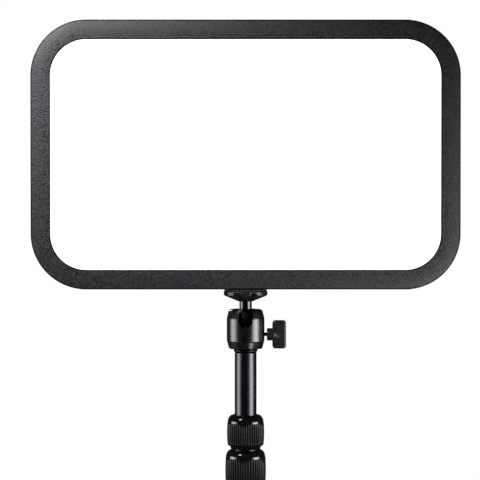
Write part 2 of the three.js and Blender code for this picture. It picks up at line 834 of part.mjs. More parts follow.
// Edge-lighting strips above and below the light guide: a narrow board with a row of emitters.
const stripLength = 2 * (screwColumn + 5);
const stripThickness = 0.8;
const stripGap = 1.2;
const emitters = 12;
const emitterHeight = 0.8;
function ledStrip(side) {
  const inner = panelHeight / 2 - guideInset + stripGap;
  const middle = -(guideDepth + guideThickness / 2);
  const board = block(0, side * (inner + stripThickness / 2), middle, [
    stripLength,
    stripThickness,
    guideThickness,
  ]);
  const pitch = stripLength / emitters;
  const chips = Array.from({ length: emitters }, (_, i) =>
    block((i + 0.5) * pitch - stripLength / 2, side * (inner - emitterHeight / 2 + 0.1), middle, [
      3.5,
      emitterHeight,
      2.8,
    ]),
  );
  return join(board, ...chips);
}
add(panel, "led_strip_top", ledStrip(1), whiteBoard);
add(panel, "led_strip_bottom", ledStrip(-1), whiteBoard);

// Rear cover: a shallow pan with a sloped edge, and the control housing that grows out of its foot.
const podMiddle = -panelHeight / 2 + podHeight / 2 + GAP;
const plateWidth = podWidth - 2 * plateSideMargin;
const plateHeight = podHeight - 2 * plateEndMargin;
const plateOpeningWidth = plateWidth - 2 * plateLedge;
const plateOpeningHeight = plateHeight - 2 * plateLedge;
const boardWidth = plateOpeningWidth - 2 * boardMargin;
const boardHeight = plateOpeningHeight - 2 * boardMargin + 2;
const inletFlangeRadius = inletRadius + inletFlange;
const podDepth = coverDepth + podRise;
const boardDepth = podDepth - plateThickness - boardSetBack;
const recessDepth = podDepth - plateThickness - GAP;
const plateScrewX = plateWidth / 2 - 5.5;
const plateScrewY = plateHeight / 2 - 5.5;
const plateScrews = [-1, 1].flatMap((right) =>
  [-1, 1].map((up) => [right * plateScrewX, podMiddle + up * plateScrewY]),
);
const inletX = podWidth / 2;
const inletY = podMiddle - 18;
const inletDepth = coverDepth + (podRise - podChamfer) / 2;
const dialY = podMiddle;
const dialOffset = plateOpeningWidth / 2 - dialRadius - dialMargin;
const buttonY = podMiddle - plateOpeningHeight / 2 + 12;
const slots = 9;
const slotPitch = 11;
const slotWidth = 4;
const slotHeight = 26;
const slotMiddle = panelHeight / 2 - 58;

function podOutline(inset) {
  return roundedOutline(podWidth - 2 * inset, podHeight - 2 * inset, podCorner - inset, 0, podMiddle);
}

function rearCover() {
  const pan = lofted([
    { outline: panelOutline(GAP + coverSlope), depth: coverDepth },
    { outline: panelOutline(GAP), depth: coverDepth - coverSlopeDepth },
    { outline: panelOutline(GAP), depth: coverStart },
  ]);
  const hollow = lofted([
    { outline: panelOutline(GAP + coverWall + coverSlope), depth: coverDepth - coverWall },
    { outline: panelOutline(GAP + coverWall), depth: coverDepth - coverSlopeDepth - coverWall / 2 },
    { outline: panelOutline(GAP + coverWall), depth: coverStart - 1 },
  ]);
  const pod = lofted([
    { outline: podOutline(podChamfer), depth: podDepth },
    { outline: podOutline(0), depth: podDepth - podChamfer },
    { outline: podOutline(0), depth: coverStart },
  ]);
  const podHollow = slab(podOutline(podWall), coverStart - 1, podDepth - podBackWall);
  const plateRecess = slab(
    roundedOutline(plateWidth + 2 * GAP, plateHeight + 2 * GAP, plateCorner + GAP, 0, podMiddle),
    recessDepth,
    podDepth + 1,
  );
  const opening = slab(
    roundedOutline(plateOpeningWidth, plateOpeningHeight, plateOpeningCorner, 0, podMiddle),
    podDepth - podBackWall - 1,
    podDepth,
  );
  const bossBack = mountDepth + insertRadius + 1.9;
  const insertBoss = block(0, -panelHeight / 2 + GAP + 8, -(coverStart + bossBack) / 2, [
    22,
    16,
    bossBack - coverStart,
  ]);
  const insertHole = rod(insertRadius + GAP, -panelHeight / 2 - 1, -panelHeight / 2 + insertLength + 1)
    .rotateX(-QUARTER)
    .translate(0, 0, -mountDepth);
  const coverPosts = coverScrews.map(([x, y]) => depthRod(5, x, y, coverStart, coverDepth - 1));
  const headPockets = coverScrews.map(([x, y]) => depthRod(screwHead + GAP, x, y, screwSeat, coverDepth + 1));
  const shankHoles = coverScrews.map(([x, y]) => depthRod(screwShank + GAP, x, y, coverStart - 1, coverDepth));
  const platePosts = plateScrews.map(([x, y]) => depthRod(3, x, y, boardDepth, podDepth - podBackWall + 0.5));
  const plateHoles = plateScrews.map(([x, y]) =>
    depthRod(screwShank + GAP, x, y, boardDepth + 1, podDepth),
  );
  const inletHole = crossRod(inletRadius + GAP, inletX - 6, inletX + 4).translate(0, inletY, -inletDepth);
  const vents = Array.from({ length: slots }, (_, i) =>
    block((i - (slots - 1) / 2) * slotPitch, slotMiddle, -coverDepth, [slotWidth, slotHeight, 6]),
  );
  const shell = cut(join(pan, pod), hollow, podHollow, plateRecess, opening);
  const posted = join(shell, insertBoss, ...coverPosts, ...platePosts);
  return cut(posted, insertHole, ...headPockets, ...shankHoles, ...plateHoles, inletHole, ...vents);
}
add(panel, "rear_cover", rearCover(), blackPlastic);

const insertFoot = -panelHeight / 2 + GAP + 0.2;
const insert = pipe(studRadius + GAP, insertRadius, insertFoot, insertFoot + insertLength, 16)
  .rotateX(-QUARTER)
  .translate(0, 0, -mountDepth);
add(panel, "mount_insert", insert, brass);

// A button-head machine screw along the panel's depth, its head and hex socket towards the back.
function machineScrew(x, y, seat, length) {
  const crown = -(seat + screwHeadHeight);
  const profile = [
    [0, crown],
    [screwHead - 0.9, crown],
    [screwHead, -(seat + screwHeadHeight / 2)],
    [screwHead, -seat],
    [screwShank, -seat],
    [screwShank, -(seat - length)],
    [0, -(seat - length)],
  ];
  return cut(turned(profile, 8), rod(screwSocket, crown - 1, crown + 1, 6)).translate(x, y, 0);
}
const coverScrewLength = screwSeat + GAP - bezelLip - 3.3;
const plateScrewLength = plateThickness + boardSetBack - 2.5;
coverScrews.forEach(([x, y], i) => {
  add(panel, `cover_screw_${i + 1}`, machineScrew(x, y, screwSeat + GAP, coverScrewLength), zincScrew);
});
plateScrews.forEach(([x, y], i) => {
  add(panel, `plate_screw_${i + 1}`, machineScrew(x, y, podDepth + GAP, plateScrewLength), zincScrew);
});

// Driver board with its coil, capacitors and the two switches under the buttons.
const switchTop = podDepth - plateThickness - 2 * GAP - 1.4 - buttonTravel - GAP;
function driverBoard() {
  const board = block(0, podMiddle, -(boardDepth + boardThickness / 2), [
    boardWidth,
    boardHeight,
    boardThickness,
  ]);
  const coil = depthRod(9, -30, podMiddle + 12, boardDepth - 8, boardDepth + 0.5);
  const capacitors = [-4, 8, 20].map((x) =>
    depthRod(4.5, x, podMiddle + 16, boardDepth - capacitorHeight, boardDepth + 0.5),
  );
  const chip = block(26, podMiddle - 12, -(boardDepth - 1), [12, 12, 2.5]);
  const terminal = block(-44, podMiddle - 14, -(boardDepth - 4), [10, 16, 8.5]);
  const switches = [-1, 1].map((side) =>
    block(side * buttonOffset, buttonY, -(boardDepth + boardThickness + switchTop) / 2, [
      6,
      6,
      switchTop - boardDepth - boardThickness + 0.4,
    ]),
  );
  return join(board, coil, ...capacitors, chip, terminal, ...switches);
}
add(panel, "driver_board", driverBoard(), circuitBoard);

// Control plate, with the holes for two dials and two buttons and the window's rebate.
const windowWidth = 40;
const windowHeight = 18;
const windowY = podMiddle + plateOpeningHeight / 2 - windowHeight / 2 - 7;
const windowThickness = 1;
const bushingRadius = 3.6;
const windowOutline = (grow) =>
  roundedOutline(windowWidth + 2 * grow, windowHeight + 2 * grow, 2.5 + grow, 0, windowY);
const plateFront = podDepth - plateThickness;
const controlPlate = cut(
  slab(roundedOutline(plateWidth, plateHeight, plateCorner, 0, podMiddle), plateFront, podDepth),
  ...plateScrews.map(([x, y]) => depthRod(screwShank + GAP, x, y, plateFront - 1, podDepth + 1)),
  ...[-1, 1].map((side) => depthRod(bushingRadius + GAP, side * dialOffset, dialY, plateFront - 1, podDepth + 1)),
  ...[-1, 1].map((side) => depthRod(buttonRadius + GAP, side * buttonOffset, buttonY, plateFront - 1, podDepth + 1)),
  slab(windowOutline(GAP), podDepth - windowThickness - GAP, podDepth + 1),
);
add(panel, "control_plate", controlPlate, blackPlastic);
add(panel, "display_window", slab(windowOutline(0), podDepth - windowThickness, podDepth), glossPlastic);

// A rotary encoder and the dial on its shaft; the shaft turns with the dial.
const shaftRadius = 2.5;
const encoderTop = podDepth + GAP;
function encoder(x) {
  const front = boardDepth + boardThickness + GAP;
  const back = plateFront - 0.5;
  const body = block(x, dialY, -(front + back) / 2, [12, 12, back - front]);
  const bushing = depthRod(bushingRadius, x, dialY, back - 0.5, encoderTop);
  const bore = depthRod(shaftRadius + GAP, x, dialY, front + 1.5, encoderTop + 1);
  return cut(join(body, bushing), bore);
}
function dial(x) {
  const foot = podDepth + 2 * GAP;
  const top = foot + dialHeight;
  const skirt = ribbed(
    [
      [dialRadius, -top + 0.8, 0],
      [dialRadius, -foot, 0.6],
    ],
    1,
    24,
    0.6,
  );
  const cap = turned([[0, -top], [dialRadius - 1.2, -top], [dialRadius - 0.4, -top + 0.9], [0, -top + 0.9]], FINE);
  const shaft = rod(shaftRadius, -top + 0.5, -(boardDepth + boardThickness + 2 * GAP + 1.5));
  return join(skirt, cap, shaft).translate(x, dialY, 0);
}
add(panel, "brightness_encoder", encoder(-dialOffset), blackPlastic);
add(panel, "colour_encoder", encoder(dialOffset), blackPlastic);
add(panel, "brightness_dial", dial(-dialOffset), blackAnodised);
add(panel, "colour_dial", dial(dialOffset), blackAnodised);

// A push button: a round cap held behind the plate by its flange.
function button(x) {
  const flangeTop = plateFront - GAP;
  return turned(
    [
      [0, -(podDepth + 1.5)],
      [buttonRadius - 0.6, -(podDepth + 1.5)],
      [buttonRadius, -(podDepth + 0.9)],
      [buttonRadius, -flangeTop],
      [buttonRadius + 1.5, -flangeTop],
      [buttonRadius + 1.5, -(flangeTop - 1.4)],
      [0, -(flangeTop - 1.4)],
    ],
    16,
  ).translate(x, buttonY, 0);
}
add(panel, "power_button", button(-buttonOffset), blackPlastic);
add(panel, "mode_button", button(buttonOffset), blackPlastic);

// Power inlet in the housing's side: a barrel socket with a thin flange and a centre pin.
function powerInlet() {
  const back = inletX - 14;
  const barrel = crossRod(inletRadius, back, inletX + 0.5, 16);
  const flange = crossRod(inletFlangeRadius, inletX + GAP, inletX + 1.3, 16);
  const hole = crossRod(inletHoleRadius, back + 2, inletX + 2, 16);
  const pin = crossRod(1.2, back + 1, inletX - 1, 8);
  return join(cut(join(barrel, flange), hole), pin).translate(0, inletY, -inletDepth);
}
add(panel, "dc_inlet", powerInlet(), glossPlastic);

export default light;
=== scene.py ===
from math import atan2, cos, pi, radians, sin, sqrt, tan

import bmesh
import bpy
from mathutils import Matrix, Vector


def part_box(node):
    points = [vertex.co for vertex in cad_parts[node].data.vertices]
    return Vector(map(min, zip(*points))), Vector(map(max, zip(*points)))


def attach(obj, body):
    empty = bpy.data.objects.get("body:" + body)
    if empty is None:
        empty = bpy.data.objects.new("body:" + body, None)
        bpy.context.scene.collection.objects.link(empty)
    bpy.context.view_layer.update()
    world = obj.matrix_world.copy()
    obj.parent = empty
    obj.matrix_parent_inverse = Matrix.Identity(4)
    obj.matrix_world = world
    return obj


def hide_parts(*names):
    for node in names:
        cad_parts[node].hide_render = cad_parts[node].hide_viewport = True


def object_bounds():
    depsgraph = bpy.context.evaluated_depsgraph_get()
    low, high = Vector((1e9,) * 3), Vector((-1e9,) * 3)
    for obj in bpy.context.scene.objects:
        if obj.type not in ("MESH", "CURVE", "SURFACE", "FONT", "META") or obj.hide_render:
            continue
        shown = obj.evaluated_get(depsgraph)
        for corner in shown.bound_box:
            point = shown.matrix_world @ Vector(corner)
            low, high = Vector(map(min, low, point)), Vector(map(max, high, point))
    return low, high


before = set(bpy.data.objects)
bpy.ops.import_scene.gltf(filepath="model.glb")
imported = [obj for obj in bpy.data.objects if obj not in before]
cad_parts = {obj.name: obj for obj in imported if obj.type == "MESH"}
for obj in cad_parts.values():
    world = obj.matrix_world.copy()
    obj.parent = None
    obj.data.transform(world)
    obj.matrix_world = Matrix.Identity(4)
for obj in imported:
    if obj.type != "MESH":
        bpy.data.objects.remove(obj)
cad_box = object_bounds()

# ----------------------------------------
# Clamp frame: one die casting in aluminium, a C with a round boss on top that the pole stands in.
# It is blasted and powder coated, so its edges are soft and its face has a fine orange peel.

MM = 0.001
TURN = 2 * pi


def corners(node):
    """A CAD node's lowest and highest corners in millimetres."""
    low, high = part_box(node)
    return Vector(low) / MM, Vector(high) / MM


def skin(name, rings, loop=False):
    """A closed mesh over rings of points in millimetres. The end rings are capped unless they loop."""
    sides = len(rings[0])
    faces = []
    for level in range(len(rings) if loop else len(rings) - 1):
        here = level * sides
        there = (level + 1) % len(rings) * sides
        for i in range(sides):
            j = (i + 1) % sides
            faces.append((here + i, here + j, there + j, there + i))
    if not loop:
        faces.append(tuple(range(sides)))
        faces.append(tuple(range((len(rings) - 1) * sides, len(rings) * sides)))
    mesh = bpy.data.meshes.new(name)
    mesh.from_pydata([[c * MM for c in point] for ring in rings for point in ring], [], faces)
    work = bmesh.new()
    work.from_mesh(mesh)
    bmesh.ops.remove_doubles(work, verts=work.verts, dist=1e-6)
    bmesh.ops.recalc_face_normals(work, faces=work.faces)
    work.to_mesh(mesh)
    work.free()
    piece = bpy.data.objects.new(name, mesh)
    bpy.context.collection.objects.link(piece)
    return piece


def turned(name, profile, sides=96, axis="Z", centre=(0, 0, 0), loop=False, shape=None):
    """A profile of (radius, height) points turned about an axis. The shape function, if there is
    one, gives the radius and height to use at each angle."""
    rings = []
    for radius, height in profile:
        ring = []
        for i in range(sides):
            angle = TURN * i / sides
            r, h = shape(angle, radius, height) if shape else (radius, height)
            across, up = r * cos(angle), r * sin(angle)
            point = {"X": (h, across, up), "Y": (up, h, across), "Z": (across, up, h)}[axis]
            ring.append([c + p for c, p in zip(centre, point)])
        rings.append(ring)
    return skin(name, rings, loop)


def fillet(points, steps=5, closed=False):
    """An outline of (a, b, radius) corners with each corner rounded to its radius."""
    outline = []
    for i, (a, b, radius) in enumerate(points):
        here = Vector((a, b))
        if radius == 0 or (not closed and i in (0, len(points) - 1)):
            outline.append((a, b))
            continue
        back = (Vector(points[i - 1][:2]) - here).normalized()
        ahead = (Vector(points[(i + 1) % len(points)][:2]) - here).normalized()
        half = back.angle(ahead) / 2
        centre = here + (back + ahead).normalized() * (radius / sin(half))
        start = here + back * (radius / tan(half)) - centre
        end = here + ahead * (radius / tan(half)) - centre
        sweep = atan2(start.x * end.y - start.y * end.x, start.dot(end))
        for k in range(steps + 1):
            turn = sweep * k / steps
            outline.append((
                centre.x + start.x * cos(turn) - start.y * sin(turn),
                centre.y + start.x * sin(turn) + start.y * cos(turn),
            ))
    return outline


def prism(name, outline, near, far, place):
    """A flat outline carried from one level to another; place turns (u, v, level) into a point."""
    return skin(name, [[place(u, v, level) for u, v in outline] for level in (near, far)])


def worked(piece, kind, **settings):
    """The piece with one modifier set up and applied."""
    step = piece.modifiers.new(kind, kind)
    for name, value in settings.items():
        setattr(step, name, value)
    bpy.context.view_layer.update()
    state = piece.evaluated_get(bpy.context.evaluated_depsgraph_get())
    mesh = bpy.data.meshes.new_from_object(state)
    piece.modifiers.clear()
    piece.data = mesh
    return piece


def carved(piece, *tools, operation="DIFFERENCE"):
    """The piece with each tool cut out of it, or joined to it; the tools are used up."""
    for tool in tools:
        worked(piece, "BOOLEAN", operation=operation, object=tool, solver="EXACT")
        bpy.data.objects.remove(tool)
    return piece


def softened(piece, width, segments=3, angle=50):
    """The piece with every edge sharper than the angle rounded over."""
    return worked(piece, "BEVEL", width=width * MM, segments=segments, limit_method="ANGLE",
                  angle_limit=radians(angle), use_clamp_overlap=True)


def fit(piece, body, slot, finishes, *nodes, crease=32):
    """Shades the piece, gives it its finishes and puts it in the place of its CAD nodes."""
    piece.data.materials.clear()
    for finish in finishes if isinstance(finishes, list) else [finishes]:
        piece.data.materials.append(finish)
    piece.data.shade_smooth()
    piece.data.set_sharp_from_angle(angle=radians(crease))
    worked(piece, "WEIGHTED_NORMAL", weight=100, keep_sharp=True)
    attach(piece, body)
    if nodes:
        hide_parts(*nodes)
    return piece


def linear(colour):
    """An sRGB hex value as the linear colour that the shader takes."""
    parts = [((colour >> shift) & 255) / 255 for shift in (16, 8, 0)]
    return [c / 12.92 if c <= 0.04045 else ((c + 0.055) / 1.055) ** 2.4 for c in parts] + [1.0]


def add_node(tree, kind, inputs=None, **settings):
    """One node with its settings, and its inputs either set or linked."""
    node = tree.nodes.new("ShaderNode" + kind)
    for name, value in settings.items():
        setattr(node, name, value)
    for name, value in (inputs or {}).items():
        if isinstance(value, bpy.types.NodeSocket):
            tree.links.new(value, node.inputs[name])
        else:
            node.inputs[name].default_value = value
    return node


def grained(name, dark, light, grain, height, rough, mottle=25, stretch=(1, 1, 1), share=0.35, **values):
    """A finish whose colour, gloss and relief follow a grain, in millimetres, over a broader mottle.
    Further values are set on the shader's own sockets."""
    finish = bpy.data.materials.new(name)
    finish.use_nodes = True
    tree = finish.node_tree
    shader = tree.nodes["Principled BSDF"]
    for socket, value in values.items():
        shader.inputs[socket.replace("_", " ")].default_value = value
    place = add_node(tree, "TexCoord").outputs["Object"]
    drawn = add_node(tree, "Mapping", {"Vector": place, "Scale": stretch}).outputs[0]
    fine = add_node(tree, "TexNoise", {"Vector": drawn, "Scale": 1000 / grain,
                                       "Detail": 2, "Roughness": 0.6})
    broad = add_node(tree, "TexNoise", {"Vector": place, "Scale": 1000 / mottle, "Detail": 4})
    both = add_node(tree, "Mix", {0: share, 2: fine.outputs[0], 3: broad.outputs[0]})
    tone = add_node(tree, "MapRange", {"Value": both.outputs[0], "From Min": 0.36, "From Max": 0.64})
    shade = add_node(tree, "Mix", {0: tone.outputs[0], 6: linear(dark), 7: linear(light)}, data_type="RGBA")
    gloss = add_node(tree, "MapRange", {"Value": both.outputs[0], "From Min": 0.3, "From Max": 0.7,
                                        "To Min": rough[0], "To Max": rough[1]})
    relief = add_node(tree, "Bump", {"Height": fine.outputs[0], "Distance": height * MM})
    tree.links.new(shade.outputs[2], shader.inputs["Base Color"])
    tree.links.new(gloss.outputs[0], shader.inputs["Roughness"])
    tree.links.new(relief.outputs[0], shader.inputs["Normal"])
    return finish


# Polyester powder coat: a soft satin with an orange peel of about 1.5 mm.
powder_coat = grained("powder_coat", 0x1b1b1e, 0x2a2b2f, 1.5, 0.10, (0.42, 0.58))

clamp_low, clamp_high = corners("clamp_frame")
pad_low, pad_high = corners("clamp_top_pad")
screw_low, screw_high = corners("clamp_screw")
tube_low, tube_high = corners("lower_tube")
BOSS_HEIGHT = 14
JAW = 10
BOSS = 18
BOSS_ROOT = 3
CASTING_ROUND = 2.2
CLEAR = 0.3
clamp_half = clamp_high.x
jaw_top = clamp_high.z - BOSS_HEIGHT
jaw_foot = jaw_top - JAW
spine_inner = clamp_high.y - JAW
lower_jaw_top = clamp_low.z + JAW
screw_y = (screw_low.y + screw_high.y) / 2
clamp_outline = fillet([
    (clamp_low.y, jaw_foot, 1.5),
    (clamp_low.y, jaw_top, 4.5),
    (clamp_high.y, jaw_top, 9),
    (clamp_high.y, clamp_low.z, 9),
    (screw_y - BOSS, clamp_low.z, 4),
    (screw_y - BOSS, lower_jaw_top, 2),
    (spine_inner, lower_jaw_top, 5),
    (spine_inner, jaw_foot, 5),
], closed=True)
clamp_frame = prism("clamp_frame_casting", clamp_outline, -clamp_half, clamp_half, lambda u, v, x: (x, u, v))
softened(clamp_frame, CASTING_ROUND, segments=4)
boss = turned("boss", fillet([
    (0, jaw_top - BOSS_ROOT, 0), (BOSS, jaw_top - BOSS_ROOT, 0),
    (BOSS, clamp_high.z, 2), (0, clamp_high.z, 0),
]))
carved(clamp_frame, boss, operation="UNION")
# Sunk panels in both sides of the spine, which keep the casting's wall even.
WEB = 1.4
WEB_SIDE = 2.6
WEB_END = 8
for side in (-1, 1):
    sunk = fillet([
        (spine_inner + WEB_SIDE, lower_jaw_top + WEB_END, 2),
        (clamp_high.y - WEB_SIDE, lower_jaw_top + WEB_END, 2),
        (clamp_high.y - WEB_SIDE, jaw_foot - WEB_END, 2),
        (spine_inner + WEB_SIDE, jaw_foot - WEB_END, 2),
    ], closed=True)
    web = prism("web", sunk, side * (clamp_half - WEB), side * (clamp_half + 2), lambda u, v, x: (x, u, v))
    carved(clamp_frame, web)
tube_radius = tube_high.x
socket = turned("socket", [
    (0, tube_low.z - CLEAR), (tube_radius + CLEAR, tube_low.z - CLEAR),
    (tube_radius + CLEAR, clamp_high.z - 0.8), (tube_radius + 1.4, clamp_high.z + 0.3),
    (0, clamp_high.z + 0.3),
])
screw_radius = screw_high.x
thread_hole = turned("thread_hole", [
    (0, clamp_low.z - 1), (screw_radius + 1.6, clamp_low.z - 0.2),
    (screw_radius + CLEAR, clamp_low.z + 1.2), (screw_radius + CLEAR, lower_jaw_top - 1.2),
    (screw_radius + 1.6, lower_jaw_top + 0.2), (0, lower_jaw_top + 1),
], centre=(0, screw_y, 0))
bolt_head = corners("pole_bolt")[1].x + CLEAR
BOLT_SHANK_HOLE = 4.3
BOLT_HEAD_DEPTH = 4.3
bolt_hole = turned("bolt_hole", [
    (0, jaw_foot - 1), (bolt_head, jaw_foot - 1), (bolt_head, jaw_foot + BOLT_HEAD_DEPTH),
    (BOLT_SHANK_HOLE, jaw_foot + BOLT_HEAD_DEPTH), (BOLT_SHANK_HOLE, tube_low.z), (0, tube_low.z),
])
carved(clamp_frame, socket, thread_hole, bolt_hole)
fit(clamp_frame, "stand", "cast_paint", powder_coat, "clamp_frame")

# ----------------------------------------
# Jaw pads: pieces of cut EPDM sheet glued to the upper jaw and to the swivel foot. Moulded
# grooves let them grip the desk without marking it.

# EPDM rubber: dull and slightly dusty, with a fine leathery grain of 0.8 mm.
pad_rubber = grained("pad_rubber", 0x151516, 0x222224, 0.8, 0.06, (0.72, 0.9), Specular_IOR_Level=0.35)


def rounded_rectangle(width, height, corner, steps=12):
    """Points of a rounded rectangle about 0, 0."""
    points = []
    for quarter, (right, up) in enumerate([(1, 1), (-1, 1), (-1, -1), (1, -1)]):
        for i in range(steps + 1):
            angle = (quarter + i / steps) * pi / 2
            points.append((right * (width / 2 - corner) + corner * cos(angle),
                           up * (height / 2 - corner) + corner * sin(angle)))
    return points


def lofted(name, size, sections, place, loop=False, steps=12):
    """A rounded rectangle of (width, height, corner) carried through (inset, level) sections."""
    width, height, corner = size
    rings = []
    for inset, level in sections:
        outline = rounded_rectangle(width - 2 * inset, height - 2 * inset, max(corner - inset, 0.05), steps)
        rings.append([place(u, v, level) for u, v in outline])
    return skin(name, rings, loop)


GROOVE = 0.5
GROOVES = 9
GROOVE_PITCH = 5.3
PAD_EDGE = 0.3
pad_middle = (pad_low.y + pad_high.y) / 2
top_pad = lofted("top_pad_rubber", (pad_high.x * 2, pad_high.y - pad_low.y, 3),
                 [(PAD_EDGE, pad_low.z), (0, pad_low.z + PAD_EDGE),
                  (0, pad_high.z - PAD_EDGE), (PAD_EDGE, pad_high.z)],
                 lambda u, v, z: (u, v + pad_middle, z))
for i in range(GROOVES):
    groove_y = pad_low.y + GROOVE_PITCH * (i + 1)
    groove = prism("groove", [(-GROOVE, pad_low.z - 0.1), (GROOVE, pad_low.z - 0.1), (0, pad_low.z + 0.7)],
                   -pad_high.x - 1, pad_high.x + 1, lambda u, v, x: (x, u + groove_y, v))
    carved(top_pad, groove)
fit(top_pad, "stand", "pad_rubber", pad_rubber, "clamp_top_pad")

foot_pad_low, foot_pad_high = corners("clamp_foot_pad")
foot_pad_profile = [(0, foot_pad_low.z), (foot_pad_high.x - PAD_EDGE, foot_pad_low.z),
                    (foot_pad_high.x, foot_pad_low.z + PAD_EDGE),
                    (foot_pad_high.x, foot_pad_high.z - PAD_EDGE),
                    (foot_pad_high.x - PAD_EDGE, foot_pad_high.z)]
for ring_radius in (13, 9.5, 6):
    foot_pad_profile += [(ring_radius + GROOVE, foot_pad_high.z), (ring_radius, foot_pad_high.z - 0.6),
                         (ring_radius - GROOVE, foot_pad_high.z)]
foot_pad = turned("foot_pad_rubber", foot_pad_profile + [(0, foot_pad_high.z)], centre=(0, screw_y, 0))
fit(foot_pad, "clamp_foot", "pad_rubber", pad_rubber, "clamp_foot_pad", crease=25)

# ----------------------------------------
# Pole bolt and plug: a socket screw through the jaw holds a moulded plug in the pole's foot. Both
# are out of sight inside the casting and the tube.

# Black zinc plate over steel: a dark passivate with a faint cloudy sheen.
black_zinc = grained("black_zinc", 0x2a2a2e, 0x43434a, 0.6, 0.01, (0.28, 0.42), mottle=4, Metallic=1.0)

# Acetal: a waxy engineering plastic, smooth from the mould.
acetal = grained("acetal", 0x232325, 0x2e2e31, 1.0, 0.02, (0.38, 0.5), IOR=1.48)


def dress(node, finish):
    """Gives a CAD node that stays in view or inside the light its finish."""
    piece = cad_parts[node]
    for place in piece.material_slots:
        place.material = finish


dress("pole_bolt", black_zinc)
dress("pole_plug", acetal)

# ----------------------------------------
# Clamp foot, screw and hand wheel: a turned aluminium foot swivels on a rolled steel screw, and a
# five-lobed wheel moulded on the screw's end drives it.

# Black anodised aluminium: a satin, slightly warm black metal. The lines left by turning and
# drawing are finer than 0.1 mm; they are drawn 0.6 mm wide so that they show.
anodised_turned = grained("anodised_turned", 0x1d1d20, 0x2b2b2f, 0.6, 0.012, (0.3, 0.4), mottle=6,
                          stretch=(0.15, 0.15, 1), Metallic=1.0)

# Polished steel under a black nickel plate: dark and mirror-like, with faint polishing clouds.
black_nickel = grained("black_nickel", 0x333337, 0x414145, 1.2, 0.004, (0.14, 0.24), mottle=5, Metallic=1.0)

# Glass-filled nylon: satin black with a spark-eroded texture of 0.8 mm.
moulded_nylon = grained("moulded_nylon", 0x0c0c0d, 0x171719, 0.8, 0.06, (0.3, 0.42), Specular_IOR_Level=0.4)

foot_low, foot_high = corners("clamp_foot")
FOOT_NECK = 8
FOOT_SOCKET = 3.3
FOOT_SOCKET_DEPTH = 3
clamp_foot = turned("clamp_foot_turned", fillet([
    (0, foot_high.z, 0), (foot_high.x, foot_high.z, 0.4), (foot_high.x, foot_high.z - 2.3, 0.8),
    (foot_high.x - 5.5, foot_low.z, 0.6), (FOOT_NECK, foot_low.z, 0.3), (FOOT_SOCKET, foot_low.z, 0.2),
    (FOOT_SOCKET, foot_low.z + FOOT_SOCKET_DEPTH, 0), (0, foot_low.z + FOOT_SOCKET_DEPTH, 0),
]), centre=(0, screw_y, 0))
fit(clamp_foot, "clamp_foot", "anodised", anodised_turned, "clamp_foot")


def threaded(name, radius, pitch, depth, start, end, tips, axis="Z", centre=(0, 0, 0)):
    """A screw: a thread between two levels of a rod, with plain (radius, height) tips at each end."""
    def thread(angle, r, h):
        if not start < h < end:
            return r, h
        turn = (h / pitch - angle / TURN) % 1
        flank = min(1.0, max(0.0, abs(turn - 0.5) * 3.6 - 0.4))
        fade = min(1.0, (h - start) / pitch, (end - h) / pitch)
        return r - depth * flank * fade, h
    steps = int((end - start) / pitch * 8)
    shaft = [(radius, start + (end - start) * i / steps) for i in range(steps + 1)]
    return turned(name, tips[0] + shaft + tips[1], 40, axis, centre, shape=thread)


shoulder = foot_low.z - CLEAR
CLAMP_PITCH = 2
SPIGOT_RADIUS = 3
screw_shank = screw_radius - 0.3
clamp_screw = threaded("clamp_screw_rolled", screw_radius, CLAMP_PITCH, 0.9, screw_low.z + 10, shoulder - 1, [
    [(0, screw_low.z), (screw_shank, screw_low.z), (screw_shank, screw_low.z + 9)],
    [(SPIGOT_RADIUS, shoulder), (SPIGOT_RADIUS, screw_high.z), (0, screw_high.z)],
], centre=(0, screw_y, 0))
fit(clamp_screw, "clamp_screw", "black_steel", black_nickel, "clamp_screw", crease=40)

wheel_low, wheel_high = corners("clamp_hand_wheel")
HUB = 11
LOBES = 5
LOBE_SWELL = 4.2
RIM = 21.6
lobe_top = wheel_high.z - 7


def lobed(angle, radius, height):
    """Swells the wheel's rim into lobes and leaves the hub round."""
    rim = min(1.0, max(0.0, (radius - HUB - 1) / 6))
    return radius + rim * rim * (3 - 2 * rim) * LOBE_SWELL * cos(LOBES * angle), height


hand_wheel = turned("hand_wheel_moulded", fillet([
    (0, wheel_low.z + 1.2, 0), (9, wheel_low.z + 1.2, 0.6), (10, wheel_low.z, 0.6),
    (19, wheel_low.z, 1.5), (RIM, wheel_low.z + 2.2, 1.5), (RIM, lobe_top - 1.5, 1.5),
    (19, lobe_top, 1.5), (HUB + 3, lobe_top + 1, 2), (HUB, wheel_high.z - 3, 1.5),
    (HUB - 1, wheel_high.z, 0.6), (screw_radius + CLEAR, wheel_high.z, 0.3),
    (screw_radius + CLEAR, wheel_low.z + 4, 0), (0, wheel_low.z + 4, 0),
], steps=6), 160, centre=(0, screw_y, 0), shape=lobed)
fit(hand_wheel, "clamp_screw", "knob_plastic", moulded_nylon, "clamp_hand_wheel", crease=40)

# ----------------------------------------
# Pole tubes: three drawn aluminium tubes, 25, 22 and 19 mm, that slide in one another. They are
# bead-finished along their length and black anodised.

# The same anodising on drawn tube: the die leaves lines along the tube, and they stretch the
# highlights into two long soft bands.
anodised_tube = grained("anodised_tube", 0x363437, 0x434144, 0.5, 0.008, (0.26, 0.34), mottle=18,
                        stretch=(1, 1, 0.03), Metallic=1.0)

TUBE_WALL = 1.2
for tube, body in (("lower_tube", "stand"), ("mid_tube", "mid_section"), ("top_tube", "top_section")):
    low, high = corners(tube)
    outside, inside = high.x, high.x - TUBE_WALL
    tube_piece = turned(f"{tube}_drawn", fillet([
        (inside, low.z, 0.2), (outside, low.z, 0.3), (outside, high.z, 0.3), (inside, high.z, 0.2),
    ], steps=2, closed=True), loop=True)
    fit(tube_piece, body, "anodised", anodised_tube, tube, crease=50)

